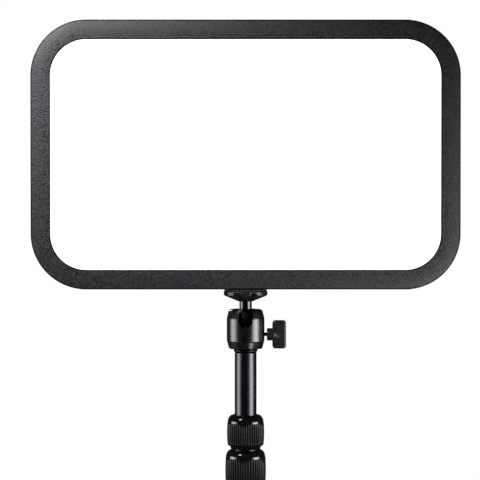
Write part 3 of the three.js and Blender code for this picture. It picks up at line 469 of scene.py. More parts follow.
# ----------------------------------------
# Guide bushes and collets: acetal rings that centre each sliding tube, and the split rings that
# the collars squeeze. They are hidden inside the pole.

for ring in ("mid_tube_bush", "top_tube_bush", "lower_lock_collet", "upper_lock_collet"):
    dress(ring, acetal)

# ----------------------------------------
# Twist-lock collars: ABS barrels screwed on the outer tube, with a polished domed shoulder, a
# polished foot ring and a grip of 44 moulded ribs in soft black rubber.

# Thermoplastic rubber over-moulded on the barrel: dark and satin, with a 0.6 mm grain.
grip_rubber = grained("grip_rubber", 0x040405, 0x0b0b0c, 0.6, 0.03, (0.28, 0.4), Specular_IOR_Level=0.12)

# Polished ABS: nearly a mirror, with the faint waviness of a moulding.
polished_abs = grained("polished_abs", 0x060607, 0x0c0c0d, 3, 0.01, (0.1, 0.17))

RIBS = 44
RIB_DEPTH = 0.5
SHOULDER = 6.4
HEEL = 2.3
ROOT = 5
WAIST_STEP = 2.9
BARREL_STEP = 0.35


def lock_collar(node, sliding_tube, body):
    """One collar: ribbed rubber grip between a domed shoulder and a foot ring, both polished."""
    low, high = corners(node)
    barrel = high.x
    foot, top = low.z, high.z
    bore = corners(sliding_tube)[1].x + CLEAR
    mouth = bore + 1.3
    rib_top, rib_foot = top - SHOULDER - 0.4, foot + HEEL + 0.4
    waist = barrel - WAIST_STEP

    def ribbed(angle, radius, height):
        if radius < barrel - 3 or not rib_foot < height < rib_top:
            return radius, height
        fade = min(1.0, (rib_top - height) / 0.9, (height - rib_foot) / 4)
        ridge = abs(cos(RIBS * angle / 2)) ** 0.8
        return radius - RIB_DEPTH * fade * (1 - ridge), height

    dome = [(mouth + (barrel - 0.55 - mouth) * sin(t), top - SHOULDER * (1 - cos(t)))
            for t in [pi / 2 * k / 12 for k in range(13)]]
    side_length = rib_top - foot - ROOT
    side = [(barrel - BARREL_STEP + BARREL_STEP * sin(pi * k / 10), rib_top - side_length * k / 10)
            for k in range(11)]
    root = [(waist + (barrel - BARREL_STEP - waist) * cos(t), foot + ROOT - (ROOT - HEEL) * sin(t))
            for t in [pi / 2 * k / 8 for k in range(1, 9)]]
    seam = [(barrel - 0.75, top - SHOULDER - 0.1), (barrel - 0.75, top - SHOULDER - 0.3)]
    heel = [(waist - 0.2, foot + HEEL - 0.2), (waist - 0.2, foot + 0.3), (waist - 0.5, foot)]
    inside = [(bore + 1.6, foot), (bore + 1.6, top - 1.9), (bore, top - 1.7), (bore, top - 0.4)]
    profile = dome + seam + side + root + heel + inside
    collar = turned(f"{node}_moulded", profile, RIBS * 8, loop=True, shape=ribbed)
    fit(collar, body, "grip_rubber", [grip_rubber, polished_abs], node, crease=60)
    for face in collar.data.polygons:
        face.material_index = int(not foot + HEEL - 0.1 < face.center.z / MM < top - SHOULDER - 0.2)


lock_collar("lower_lock_collar", "mid_tube", "lower_collar")
lock_collar("upper_lock_collar", "top_tube", "upper_collar")

# ----------------------------------------
# Pole top fitting: an aluminium plug pressed in the top tube, with a flared ring that carries the
# ball head and a stud that the head turns on.

fitting_low, fitting_high = corners("pole_top_fitting")
base_low, base_high = corners("head_base")
top_tube_top = corners("top_tube")[1].z
top_tube_radius = corners("top_tube")[1].x
ring_foot, ring_top = top_tube_top + CLEAR, base_low.z - 1
plug_radius = top_tube_radius - TUBE_WALL - CLEAR
HEAD_STUD = 3
fitting = turned("pole_top_fitting_turned", fillet([
    (0, fitting_low.z, 0), (plug_radius, fitting_low.z, 0.8), (plug_radius, ring_foot, 0),
    (top_tube_radius - 0.2, ring_foot, 0.2), (fitting_high.x, ring_top - 0.9, 0.4),
    (fitting_high.x, ring_top, 0.3), (HEAD_STUD, ring_top, 0), (HEAD_STUD, fitting_high.z, 0.4),
    (0, fitting_high.z, 0),
]))
fit(fitting, "top_section", "anodised", anodised_turned, "pole_top_fitting")

# ----------------------------------------
# Ball head: base, housing and grub screw. The base and housing are turned from aluminium bar and
# finished in gloss black lacquer; a notch milled in the housing's front lets the neck tip over.

# Gloss black lacquer on aluminium: a deep black with mirror highlights and a faint orange peel.
gloss_lacquer = grained("gloss_lacquer", 0x040405, 0x080809, 4, 0.012, (0.24, 0.3), Specular_IOR_Level=0.6)

SPIGOT = 12.2
STUD_HOLE = 3.4
head_base = turned("head_base_turned", fillet([
    (0, base_low.z, 0), (base_high.x - 2.2, base_low.z, 0.3), (base_high.x - 1.7, base_low.z + 0.5, 0.3),
    (base_high.x - 0.3, base_high.z - 3.6, 0.6), (base_high.x - 0.1, base_high.z - 3.3, 0.2),
    (SPIGOT, base_high.z - 3.3, 0.2), (SPIGOT, base_high.z, 0.2),
    (STUD_HOLE, base_high.z, 0), (STUD_HOLE, base_low.z + 1, 0), (0, base_low.z + 1, 0),
], steps=6))
fit(head_base, "top_section", "head_paint", gloss_lacquer, "head_base", crease=40)

housing_low, housing_high = corners("head_housing")
ball_low, ball_high = corners("ball")
neck_high = corners("neck")[1]
housing_radius = housing_high.x
housing_top = housing_high.z
ball_radius = ball_high.x
ball_z = (ball_low.z + ball_high.z) / 2
neck_radius = neck_high.x
seat_radius = ball_radius + CLEAR
cavity = ball_radius + 1.6
mouth = neck_radius + 5.85
seat = [(seat_radius * cos(t), ball_z + seat_radius * sin(t)) for t in (0.52, 0.39, 0.26, 0.13, 0)]
crown = [(housing_radius, housing_top - 8.6), (housing_radius - 0.12, housing_top - 7.4),
         (housing_radius - 0.45, housing_top - 6), (housing_radius - 0.9, housing_top - 4.2),
         (housing_radius - 1.4, housing_top - 2.3), (housing_radius - 1.8, housing_top - 1.25),
         (housing_radius - 2.5, housing_top - 0.45), (housing_radius - 3.6, housing_top)]
housing_profile = ([(cavity, housing_low.z, 0.2), (housing_radius, housing_low.z, 0.5)]
                   + [(r, z, 0) for r, z in crown] + [(mouth, housing_top, 0.4)]
                   + [(r, z, 0) for r, z in seat] + [(cavity, ball_z - 1.3, 0)])
housing = turned("head_housing_turned", fillet(housing_profile, closed=True), 144, loop=True)
NOTCH = neck_radius + 0.65
notch_outline = [(NOTCH * cos(t), ball_z + NOTCH * sin(t)) for t in [pi + pi * k / 24 for k in range(25)]]
notch_outline += [(NOTCH, housing_top + 3), (-NOTCH, housing_top + 3)]
notch = prism("notch", notch_outline, 0.5, -housing_radius - 2, lambda u, v, y: (u, y, v))
screw_box_low, screw_box_high = corners("lock_screw")
lock_z = (screw_box_low.z + screw_box_high.z) / 2
grub_low, grub_high = corners("head_grub_screw")
grub_z = (grub_low.z + grub_high.z) / 2
lock_radius = screw_box_high.y
lock_hole = turned("lock_hole", [
    (0, cavity - 2), (lock_radius + CLEAR, cavity - 2), (lock_radius + CLEAR, housing_radius - 0.6),
    (lock_radius + 1.4, housing_radius + 0.5), (0, housing_radius + 0.5),
], 32, "X", (0, 0, lock_z))
grub_radius = grub_high.x
grub_hole = turned("grub_hole", [
    (0, 2 - cavity), (grub_radius + 0.2, 2 - cavity), (grub_radius + 0.2, 0.7 - housing_radius),
    (grub_radius + 0.7, -housing_radius - 0.3), (0, -housing_radius - 0.3),
], 32, "Y", (0, 0, grub_z))
carved(housing, notch, lock_hole, grub_hole)
fit(housing, "head", "head_paint", gloss_lacquer, "head_housing", crease=40)

GRUB_KEY = 1.3
grub_screw = turned("grub_screw", fillet([
    (0, grub_high.y, 0), (grub_radius, grub_high.y, 0.3), (grub_radius, grub_low.y, 0.5), (0, grub_low.y, 0),
]), 48, "Y", (0, 0, grub_z))
hexagon = [(GRUB_KEY * cos(TURN * k / 6), grub_z + GRUB_KEY * sin(TURN * k / 6)) for k in range(6)]
key_socket = prism("key_socket", hexagon, grub_low.y - 1, grub_low.y + 1.4, lambda u, v, y: (u, y, v))
fit(carved(grub_screw, key_socket), "head", "screw_steel", black_zinc, "head_grub_screw")

# ----------------------------------------
# Ball cup and lock plug: the nylon cup under the ball and the brass plug that wedges it up. Both
# are inside the housing.

# Natural nylon: a milky, slightly translucent plastic.
natural_nylon = grained("natural_nylon", 0xcfcbbf, 0xded9cc, 1.5, 0.02, (0.4, 0.55), Subsurface_Weight=0.15)

# Turned brass: warm yellow metal with fine tool rings.
turned_brass = grained("turned_brass", 0xb08a3e, 0xcaa655, 0.4, 0.01, (0.2, 0.34), mottle=3, Metallic=1.0)

dress("ball_cup", natural_nylon)
dress("lock_plug", turned_brass)

# ----------------------------------------
# Lock screw and knob: a fine-threaded screw with a glass-filled nylon wing moulded on its end. Turning it
# half round wedges the cup against the ball.

LOCK_PITCH = 0.8
LOCK_THREAD = 0.4
lock_root = lock_radius - LOCK_THREAD
lock_screw = threaded("lock_screw_rolled", lock_radius + 0.1, LOCK_PITCH, LOCK_THREAD,
                      screw_box_low.x + 0.5, screw_box_high.x - 1,
                      [[(0, screw_box_low.x), (lock_root, screw_box_low.x)],
                       [(lock_root, screw_box_high.x), (0, screw_box_high.x)]],
                      "X", (0, 0, lock_z))
fit(lock_screw, "lock_knob", "black_steel", black_nickel, "lock_screw", crease=40)

knob_low, knob_high = corners("lock_knob")
knob_hub = knob_high.y
wing_inner = knob_low.x + 4.8
wing_width = knob_high.x - wing_inner
wing_height = knob_high.z - knob_low.z
wing_middle = (wing_inner + knob_high.x) / 2
knob_z = (knob_low.z + knob_high.z) / 2
WING_HALF = 3
WING_EDGE = [(2.6, 0.05), (1.5, 0.1), (0.8, 0.32), (0.25, 0.8), (0, 1.5)]
wing = lofted("wing_knob_moulded", (wing_width, wing_height, 2.6),
              [(inset, drop - WING_HALF) for inset, drop in WING_EDGE]
              + [(inset, WING_HALF - drop) for inset, drop in reversed(WING_EDGE)],
              lambda u, v, y: (u + wing_middle, y, v + knob_z), steps=6)
hub = turned("hub", fillet([
    (0, knob_low.x, 0), (knob_hub - 0.4, knob_low.x, 0.5), (knob_hub, knob_low.x + 1, 0.5),
    (knob_hub, wing_inner + 1.6, 0.8), (knob_hub - 0.7, wing_inner + 2.4, 0.8),
    (2.8, knob_high.x - 2.2, 0.8), (0, knob_high.x - 1.6, 0),
]), 64, "X", (0, 0, knob_z))
bore_radius, bore_end = lock_radius + 0.65, screw_box_high.x + 0.4
bore = turned("bore", [
    (0, knob_low.x - 1), (bore_radius, knob_low.x - 1), (bore_radius, bore_end), (0, bore_end),
], 32, "X", (0, 0, knob_z))
carved(wing, hub, operation="UNION")
carved(wing, bore)
fit(wing, "lock_knob", "knob_plastic", moulded_nylon, "lock_knob", crease=40)

# ----------------------------------------
# Ball, neck and stud: turned steel, the ball blackened in oil and painted darker still as shade from
# the housing's notch, and the neck polished and plated with black nickel. The neck stands on the ball
# and carries the stud that the panel screws on.

# Black oxide on turned steel: a dull oily black with only a weak, wide highlight. Its colour is darker than
# black oxide: painted shade for the notch that hides the ball.
oxide_and_notch_shade = grained("oxide_and_notch_shade", 0x0c0c0e, 0x161618, 0.8, 0.01, (0.45, 0.6), mottle=4, Metallic=1.0)

ball = turned("ball_polished", [(ball_radius * sin(pi * k / 48), ball_z - ball_radius * cos(pi * k / 48))
                                for k in range(49)])
fit(ball, "ball", "black_steel", oxide_and_notch_shade, "ball")

neck_foot = ball_z + sqrt(seat_radius ** 2 - neck_radius ** 2)
neck = turned("neck_turned", [(0, neck_high.z), (neck_radius - 0.4, neck_high.z),
                              (neck_radius, neck_high.z - 0.4), (neck_radius, neck_foot + 0.5)]
              + [(rho, ball_z + sqrt(seat_radius ** 2 - rho ** 2)) for rho in (neck_radius, 4, 3, 2, 1, 0)])
stud_low, stud_high = corners("mount_stud")
stud_radius = stud_high.x
stud_bore = turned("stud_bore", [(0, stud_low.z - CLEAR), (stud_radius + CLEAR, stud_low.z - CLEAR),
                                 (stud_radius + CLEAR, neck_high.z + 1), (0, neck_high.z + 1)], 40)
fit(carved(neck, stud_bore), "neck", "black_steel", black_nickel, "neck", crease=40)

STUD_PITCH = 1.27
stud = threaded("mount_stud_rolled", stud_radius, STUD_PITCH, 0.6, stud_low.z + 1, stud_high.z - 0.8,
                [[(0, stud_low.z), (stud_radius - 0.5, stud_low.z)],
                 [(stud_radius - 0.7, stud_high.z), (0, stud_high.z)]])
fit(stud, "neck", "black_steel", black_nickel, "mount_stud", crease=40)

# ----------------------------------------
# Lock wheel and its pad: a nylon finger wheel that jams the panel's socket, with eight scallops
# sunk in its cone for the fingertips, under a glued rubber washer.

finger_low, finger_high = corners("lock_wheel")
finger_radius = finger_high.x
SIDE = 3.8
SCALLOPS = 8
SCALLOP_RISE = 3.4
SCALLOP_BITE = 0.5
cone_top = finger_high.z - SIDE


def scalloped(angle, radius, height):
    """Sinks the finger scallops in the cone and the foot of the rim."""
    pocket = max(0.0, -cos(SCALLOPS * angle)) ** 0.6
    reach = min(1.0, max(0.0, (radius - neck_radius - 2.4) / (finger_radius - neck_radius - 4)))
    if height > finger_high.z - 0.9 or radius < neck_radius + 2:
        return radius, height
    rise = SCALLOP_RISE * pocket * reach * min(1.0, (finger_high.z - 0.9 - height) / SIDE)
    return radius - SCALLOP_BITE * pocket * reach, height + rise


cone = [(neck_radius + 1 + (finger_radius - 1.0 - neck_radius - 1) * k / 14,
         finger_low.z + (cone_top - 0.3 - finger_low.z) * k / 14) for k in range(15)]
wheel_bore = [(neck_radius + CLEAR, neck_high.z + 0.9), (neck_radius + CLEAR, finger_low.z + 0.3),
              (neck_radius + 0.6, finger_low.z)]
wheel_rim = fillet([
    (finger_radius - 0.7, cone_top - 0.2, 0), (finger_radius, cone_top + 0.5, 0.4),
    (finger_radius, cone_top + 1.6, 0), (finger_radius, finger_high.z - 0.85, 0),
    (finger_radius, finger_high.z, 0.6), (stud_radius + CLEAR, finger_high.z, 0),
    (stud_radius + CLEAR, neck_high.z + 0.9, 0),
])
lock_wheel = turned("lock_wheel_moulded", wheel_bore + cone + wheel_rim, 192, loop=True, shape=scalloped)
fit(lock_wheel, "lock_wheel", "knob_plastic", moulded_nylon, "lock_wheel", crease=40)

washer_low, washer_high = corners("wheel_pad")
washer = turned("wheel_pad_rubber", fillet([
    (stud_radius + CLEAR, washer_low.z, 0.2), (washer_high.x, washer_low.z, 0.3),
    (washer_high.x, washer_high.z, 0.3), (stud_radius + CLEAR, washer_high.z, 0.2),
], closed=True), loop=True)
fit(washer, "wheel_pad", "pad_rubber", pad_rubber, "wheel_pad", crease=50)

# ----------------------------------------
# Front frame: a die-cast aluminium border, crowned so that its outer edge rolls away. Its face is
# sand-textured powder coat with painted glints; the outer rim and the inner lip are black with painted shade.

frame_low, frame_high = corners("front_frame")
panel_width = frame_high.x - frame_low.x
panel_height = frame_high.z - frame_low.z
panel_centre = (frame_high.z + frame_low.z) / 2
panel_front = frame_low.y
panel_back = frame_high.y - panel_front
PANEL_CORNER = 48
BORDER = 17
LIP = 2.5
CROWN = 1.6
CROWN_WIDTH = 13
panel_size = (panel_width, panel_height, PANEL_CORNER)


def in_panel(u, v, depth):
    """A point across, up and behind the panel's face."""
    return u, panel_front + depth, v + panel_centre


# The rim and lip are black edges, painted near black and almost without gloss: painted shade for the dark
# lines where they roll away from the light.
black_edge_and_painted_shade = grained("black_edge_and_painted_shade", 0x040405, 0x080809, 1.5, 0.02, (0.5, 0.65), Specular_IOR_Level=0.05)

# Fine-sand polyester powder coat: near black, with a painted glint, a lighter colour, in each grain. The sand
# is 0.3 mm; it is drawn 1.1 mm so that it shows.
sand_coat_and_painted_glints = grained("sand_coat_and_painted_glints", 0x020203, 0x2d2e31, 1.1, 0.4, (0.4, 0.62), mottle=40, share=0.05,
                    Specular_IOR_Level=0.3)

crown_rolls = [(inset, CROWN * ((CROWN_WIDTH - inset) / (CROWN_WIDTH - 1)) ** 2)
               for inset in (1, 2, 3, 4, 5.5, 7, 8.5, 10, 11.5, CROWN_WIDTH)]
rim = [(0, CROWN + 1), (0.08, CROWN + 0.62), (0.3, CROWN + 0.3), (0.62, CROWN + 0.08)]
FRAME_WALL = 3
lip_roll = [(BORDER - 0.9, 0), (BORDER - 0.6, 0.03), (BORDER - 0.3, 0.14), (BORDER - 0.08, 0.36),
            (BORDER, 0.7)]
border_sections = ([(0.4, panel_back), (0, panel_back - 0.4)] + rim + crown_rolls + lip_roll
                   + [(BORDER, LIP), (FRAME_WALL, LIP), (FRAME_WALL, panel_back)])
front_frame = lofted("front_frame_cast", panel_size, border_sections, in_panel, loop=True, steps=24)
fit(front_frame, "panel", "frame_paint", [sand_coat_and_painted_glints, black_edge_and_painted_shade], "front_frame", crease=40)
# Widths of the near-black bands of painted shade at the outer rim and the inner lip.
SHADED_RIM_WIDTH = 1.3
SHADED_LIP_WIDTH = 0.75


def panel_inset(point):
    """How far a point of the panel's face lies inside the panel's outline."""
    across = abs(point.x / MM) - (panel_width / 2 - PANEL_CORNER)
    up = abs(point.z / MM - panel_centre) - (panel_height / 2 - PANEL_CORNER)
    if across > 0 and up > 0:
        return PANEL_CORNER - sqrt(across ** 2 + up ** 2)
    return PANEL_CORNER - max(across, up)


# Faces at the outer rim and the inner lip take the near-black finish: black edges with painted shade.
for face in front_frame.data.polygons:
    inset = panel_inset(face.center)
    face.material_index = int(inset < SHADED_RIM_WIDTH or inset > BORDER - SHADED_LIP_WIDTH)

# ----------------------------------------
# Diffuser: a sheet of opal acrylic behind the border. It is lit from behind, so it shows as an
# even white.

sheet_low, sheet_high = corners("diffuser")
sheet_inset = (panel_width - sheet_high.x + sheet_low.x) / 2
opal_acrylic = grained("opal_acrylic", 0xf6f6f2, 0xffffff, 1.2, 0.01, (0.34, 0.46), mottle=60,
                       Emission_Color=[1.0, 1.0, 0.99, 1.0], Emission_Strength=1.6)
sheet_front = sheet_low.y - panel_front
diffuser = lofted("diffuser_sheet", panel_size, [
    (sheet_inset + 0.15, sheet_front), (sheet_inset, sheet_front + 0.15),
    (sheet_inset, sheet_high.y - panel_front),
], in_panel, steps=24)
fit(diffuser, "panel", "opal", opal_acrylic, "diffuser")

# ----------------------------------------
# Light guide, reflector, back plate and emitter strips: the sheets that spread the light. They are
# closed in between the diffuser and the rear cover.

# Clear cast acrylic with a printed dot pattern that lets the light out.
clear_acrylic = grained("clear_acrylic", 0xe9f0f2, 0xf4f8f9, 1.5, 0.02, (0.04, 0.12), IOR=1.49)

# White polyester film: matt, bright and slightly fibrous.
white_film = grained("white_film", 0xececea, 0xf8f8f5, 0.7, 0.02, (0.55, 0.7))

# Mill-finish aluminium sheet: rolling lines run along it, drawn 0.8 mm wide so that they show.
rolled_aluminium = grained("rolled_aluminium", 0xaeb0b3, 0xc6c8ca, 0.8, 0.01, (0.28, 0.42),
                           stretch=(0.04, 1, 1), Metallic=1.0)

# White solder mask on an aluminium strip.
white_board = grained("white_board", 0xdadcd6, 0xefefea, 2, 0.02, (0.35, 0.5))

dress("light_guide", clear_acrylic)
dress("reflector_sheet", white_film)
dress("back_plate", rolled_aluminium)
dress("led_strip_top", white_board)
dress("led_strip_bottom", white_board)

# ----------------------------------------
# Rear cover: an injection-moulded ABS pan with the control housing standing on its foot. Nine slots
# vent it, and six screws in counterbores hold it to the frame.

# ABS from a spark-eroded mould: matt black with a grain of 0.6 mm.
textured_abs = grained("textured_abs", 0x19191b, 0x262629, 0.6, 0.07, (0.5, 0.66))

cover_low, cover_high = corners("rear_cover")
plate_low, plate_high = corners("control_plate")
window_low, window_high = corners("display_window")
inlet_low, inlet_high = corners("dc_inlet")
insert_high = corners("mount_insert")[1]
POD_RISE = 17
POD_WIDTH = 150
POD_HEIGHT = 92
POD_CORNER = 14
POD_WALL = 2.4
POD_BACK_WALL = 4.2
WALL = 2
SLOPE = 5.6
pod_depth = cover_high.y - panel_front
pan_depth = pod_depth - POD_RISE
cover_front = cover_low.y - panel_front
cover_inset = (panel_width - cover_high.x + cover_low.x) / 2
pod_size = (POD_WIDTH, POD_HEIGHT, POD_CORNER)
pod_middle = cover_low.z + POD_HEIGHT / 2 - panel_centre
cover_foot = cover_low.z - panel_centre


def in_pod(u, v, depth):
    """A point across, up and behind the panel's face, about the control housing's middle."""
    return in_panel(u, max(v + pod_middle, cover_foot), depth)


slope_outside = [(cover_inset, pan_depth - 5.6), (cover_inset + 0.25, pan_depth - 4.7),
                 (cover_inset + 0.9, pan_depth - 3.7), (cover_inset + SLOPE - 1.7, pan_depth - 0.75),
                 (cover_inset + SLOPE - 0.8, pan_depth - 0.2), (cover_inset + SLOPE + 0.4, pan_depth)]
pan_sections = ([(cover_inset + WALL + SLOPE, pan_depth - WALL), (cover_inset + WALL, pan_depth - 6),
                 (cover_inset + WALL, cover_front), (cover_inset, cover_front)] + slope_outside)
cover = lofted("rear_cover_moulded", panel_size, pan_sections, in_panel, steps=16)
pod_sections = [
    (-1.5, pan_depth - 1), (-1.5, pan_depth + 0.02), (-0.9, pan_depth + 0.2), (-0.4, pan_depth + 0.65),
    (0, pan_depth + 1.7), (0, pod_depth - 2.5), (0.19, pod_depth - 1.54), (0.73, pod_depth - 0.73),
    (1.54, pod_depth - 0.19), (2.5, pod_depth),
]
pod = lofted("pod", pod_size, pod_sections, in_pod)
carved(cover, pod, operation="UNION")
plate_width, plate_height = plate_high.x - plate_low.x, plate_high.z - plate_low.z
plate_middle = (plate_high.z + plate_low.z) / 2 - panel_centre
PLATE_CORNER = 10
LEDGE = 5
OPENING_CORNER = 12


def in_plate(u, v, depth):
    """A point across, up and behind the panel's face, about the control plate's middle."""
    return in_panel(u, v + plate_middle, depth)


hollow = lofted("hollow", pod_size, [(POD_WALL, cover_front - 1), (POD_WALL, pod_depth - POD_BACK_WALL)],
                in_pod, steps=6)
recess = lofted("recess", (plate_width + 2 * CLEAR, plate_height + 2 * CLEAR, PLATE_CORNER + CLEAR),
                [(0, plate_low.y - panel_front - CLEAR), (0, pod_depth - 0.4), (-0.5, pod_depth + 0.1)],
                in_plate)
opening = lofted("opening", (plate_width - 2 * LEDGE, plate_height - 2 * LEDGE, OPENING_CORNER),
                 [(0, pod_depth - POD_BACK_WALL - 1), (0, pod_depth)], in_plate)
SLOTS = 9
SLOT_PITCH = 11
SLOT_SIZE = (4, 26, 1.9)
SLOT_DROP = 58
slot_middle = panel_height / 2 - SLOT_DROP
slot_sections = [(0, pan_depth - 4), (0, pan_depth - 0.7), (-0.25, pan_depth - 0.25),
                 (-0.8, pan_depth + 0.05)]
slots = []
for i in range(SLOTS):
    slot_x = (i - (SLOTS - 1) / 2) * SLOT_PITCH
    slots.append(lofted(f"slot_{i}", SLOT_SIZE, slot_sections,
                        lambda u, v, d: in_panel(u + slot_x, v + slot_middle, d), steps=6))
inlet_z = (inlet_low.z + inlet_high.z) / 2
inlet_y = (inlet_low.y + inlet_high.y) / 2
INLET_BARREL = 4.6
inlet_room = INLET_BARREL + CLEAR
inlet_hole = turned("inlet_hole", [
    (0, POD_WIDTH / 2 - 6), (inlet_room, POD_WIDTH / 2 - 6),
    (inlet_room, POD_WIDTH / 2 + 2), (0, POD_WIDTH / 2 + 2),
], 48, "X", (0, inlet_y, inlet_z))
insert_room = insert_high.x + CLEAR
insert_hole = turned("insert_hole", [
    (0, cover_low.z - 2), (insert_high.x + 1.2, cover_low.z - 0.3), (insert_room, cover_low.z + 0.6),
    (insert_room, insert_high.z + 1), (0, insert_high.z + 1),
], 48)
BLOCK_SIZE = (22, 16, 2)
insert_block = lofted("insert_block", BLOCK_SIZE,
                      [(0, cover_front + 0.5), (0, insert_high.y - panel_front + 1.9)],
                      lambda u, v, d: in_panel(u, v + cover_foot + BLOCK_SIZE[1] / 2, d), steps=4)
carved(cover, hollow, recess, opening, *slots, inlet_hole)
carved(cover, insert_block, operation="UNION")
carved(cover, insert_hole)
COVER_SCREW = 2.6
SCREW_HEAD = 2
counterbores = []
for i in range(1, 7):
    low, high = corners(f"cover_screw_{i}")
    centre = ((low.x + high.x) / 2, 0, (low.z + high.z) / 2)
    seat_y = high.y - SCREW_HEAD - CLEAR
    counterbores.append(turned(f"counterbore_{i}", [
        (0, seat_y), (COVER_SCREW + CLEAR, seat_y), (COVER_SCREW + CLEAR, panel_front + pan_depth - 0.5),
        (COVER_SCREW + 0.9, panel_front + pan_depth + 0.2), (0, panel_front + pan_depth + 0.2),
    ], 32, "Y", centre))
carved(cover, *counterbores)
fit(cover, "panel", "cover_plastic", textured_abs, "rear_cover", crease=40)

# ----------------------------------------
# Brass insert, driver board and encoders: fitted in the control housing before the plate closes it.
# Only the insert's mouth can be seen, from below.

# Green solder mask over copper: glossy, with the copper showing as a darker mottle.
green_board = grained("green_board", 0x0e3320, 0x1a5233, 2.5, 0.03, (0.3, 0.45), mottle=7, share=0.5)

dress("mount_insert", turned_brass)
dress("driver_board", green_board)
dress("brightness_encoder", moulded_nylon)
dress("colour_encoder", moulded_nylon)

# ----------------------------------------
# Control plate: a moulded ABS plate screwed on the housing's ledge, with a printed scale round each
# dial.

plate_front, plate_back = plate_low.y - panel_front, plate_high.y - panel_front
plate = lofted("control_plate_moulded", (plate_width, plate_height, PLATE_CORNER), [
    (0, plate_front), (0, plate_back - 0.35), (0.1, plate_back - 0.1), (0.35, plate_back),
], in_plate)
dial_low, dial_high = corners("colour_dial")
button_low, button_high = corners("mode_button")
dial_x, dial_z = (dial_low.x + dial_high.x) / 2, (dial_low.z + dial_high.z) / 2
button_x, button_z = (button_low.x + button_high.x) / 2, (button_low.z + button_high.z) / 2
BUTTON = 5
BUSHING_HOLE = 3.9
holes = []
for side in (-1, 1):
    for x, z, radius in ((dial_x, dial_z, BUSHING_HOLE), (button_x, button_z, BUTTON + CLEAR)):
        holes.append(turned("hole", [
            (0, plate_low.y - 1), (radius, plate_low.y - 1), (radius, plate_high.y - 0.3),
            (radius + 0.5, plate_high.y + 0.2), (0, plate_high.y + 0.2),
        ], 48, "Y", (side * x, 0, z)))
window_width, window_height = window_high.x - window_low.x, window_high.z - window_low.z
window_middle = (window_high.z + window_low.z) / 2 - panel_centre
rebate = lofted("rebate", (window_width + 2 * CLEAR, window_height + 2 * CLEAR, 2.8),
                [(0, window_low.y - panel_front - CLEAR), (0, plate_back - 0.2), (-0.35, plate_back + 0.15)],
                lambda u, v, d: in_panel(u, v + window_middle, d), steps=6)
carved(plate, *holes, rebate)
fit(plate, "panel", "cover_plastic", textured_abs, "control_plate", crease=40)

# Pad-printed ink: off-white, matt and very slightly uneven.
printed_ink = grained("printed_ink", 0xc9c9c5, 0xe0e0dc, 0.5, 0.01, (0.5, 0.65))

INK = 0.04
SCALE_RADIUS = 13.2


def printed(name, bars):
    """Thin bars of ink on the plate, each as (x, z, length, width, angle)."""
    work = bmesh.new()
    for x, z, length, width, angle in bars:
        along = Vector((cos(angle), 0, sin(angle)))
        across = Vector((-sin(angle), 0, cos(angle)))
        middle = Vector((x, plate_high.y + INK / 2, z))
        made = []
        for depth in (-1, 1):
            for a, b in ((-1, -1), (1, -1), (1, 1), (-1, 1)):
                flat = middle + along * (a * length / 2) + across * (b * width / 2)
                made.append(work.verts.new((flat + Vector((0, depth * INK / 2, 0))) * MM))
        for face in ((0, 1, 2, 3), (7, 6, 5, 4), (0, 4, 5, 1), (1, 5, 6, 2), (2, 6, 7, 3), (3, 7, 4, 0)):
            work.faces.new([made[k] for k in face])
    bmesh.ops.recalc_face_normals(work, faces=work.faces)
    mesh = bpy.data.meshes.new(name)
    work.to_mesh(mesh)
    work.free()
    piece = bpy.data.objects.new(name, mesh)
    bpy.context.collection.objects.link(piece)
    return fit(piece, "panel", "white_film", printed_ink)


for name, side in (("brightness_scale", -1), ("colour_scale", 1)):
    ticks = []
    for i in range(11):
        angle = radians(-45 + 27 * i)
        length = 2.2 if i % 5 == 0 else 1.3
        reach = SCALE_RADIUS + length / 2
        ticks.append((side * dial_x + reach * cos(angle), dial_z + reach * sin(angle), length, 0.4, angle))
    printed(name, ticks)

# ----------------------------------------
# Readout window: a plate of smoked acrylic glued in its rebate, polished and slightly rounded at
# the edge.

# Smoked acrylic: deep black gloss with a very faint ripple.
smoked_acrylic = grained("smoked_acrylic", 0x0b0b0d, 0x111114, 6, 0.01, (0.04, 0.08), IOR=1.49)

window = lofted("readout_window", (window_width, window_height, 2.5),
                [(0, window_low.y - panel_front), (0, window_high.y - panel_front - 0.25),
                 (0.08, window_high.y - panel_front - 0.08), (0.25, window_high.y - panel_front)],
                lambda u, v, d: in_panel(u, v + window_middle, d), steps=8)
fit(window, "panel", "gloss_plastic", smoked_acrylic, "display_window")

# ----------------------------------------
# Dials: turned aluminium caps with a straight knurl, a chamfered rim and a dished, ring-turned top.
# A printed line on the top points at the scale.

KNURLS = 60
KNURL_DEPTH = 0.35


def knurled(angle, radius, height):
    """Cuts the knurl in the dial's skirt."""
    if dial_radius - KNURL_DEPTH < radius and dial_low_y + 0.9 < height < dial_high.y - 1.2:
        return radius - KNURL_DEPTH * abs(sin(KNURLS * angle / 2)), height
    return radius, height


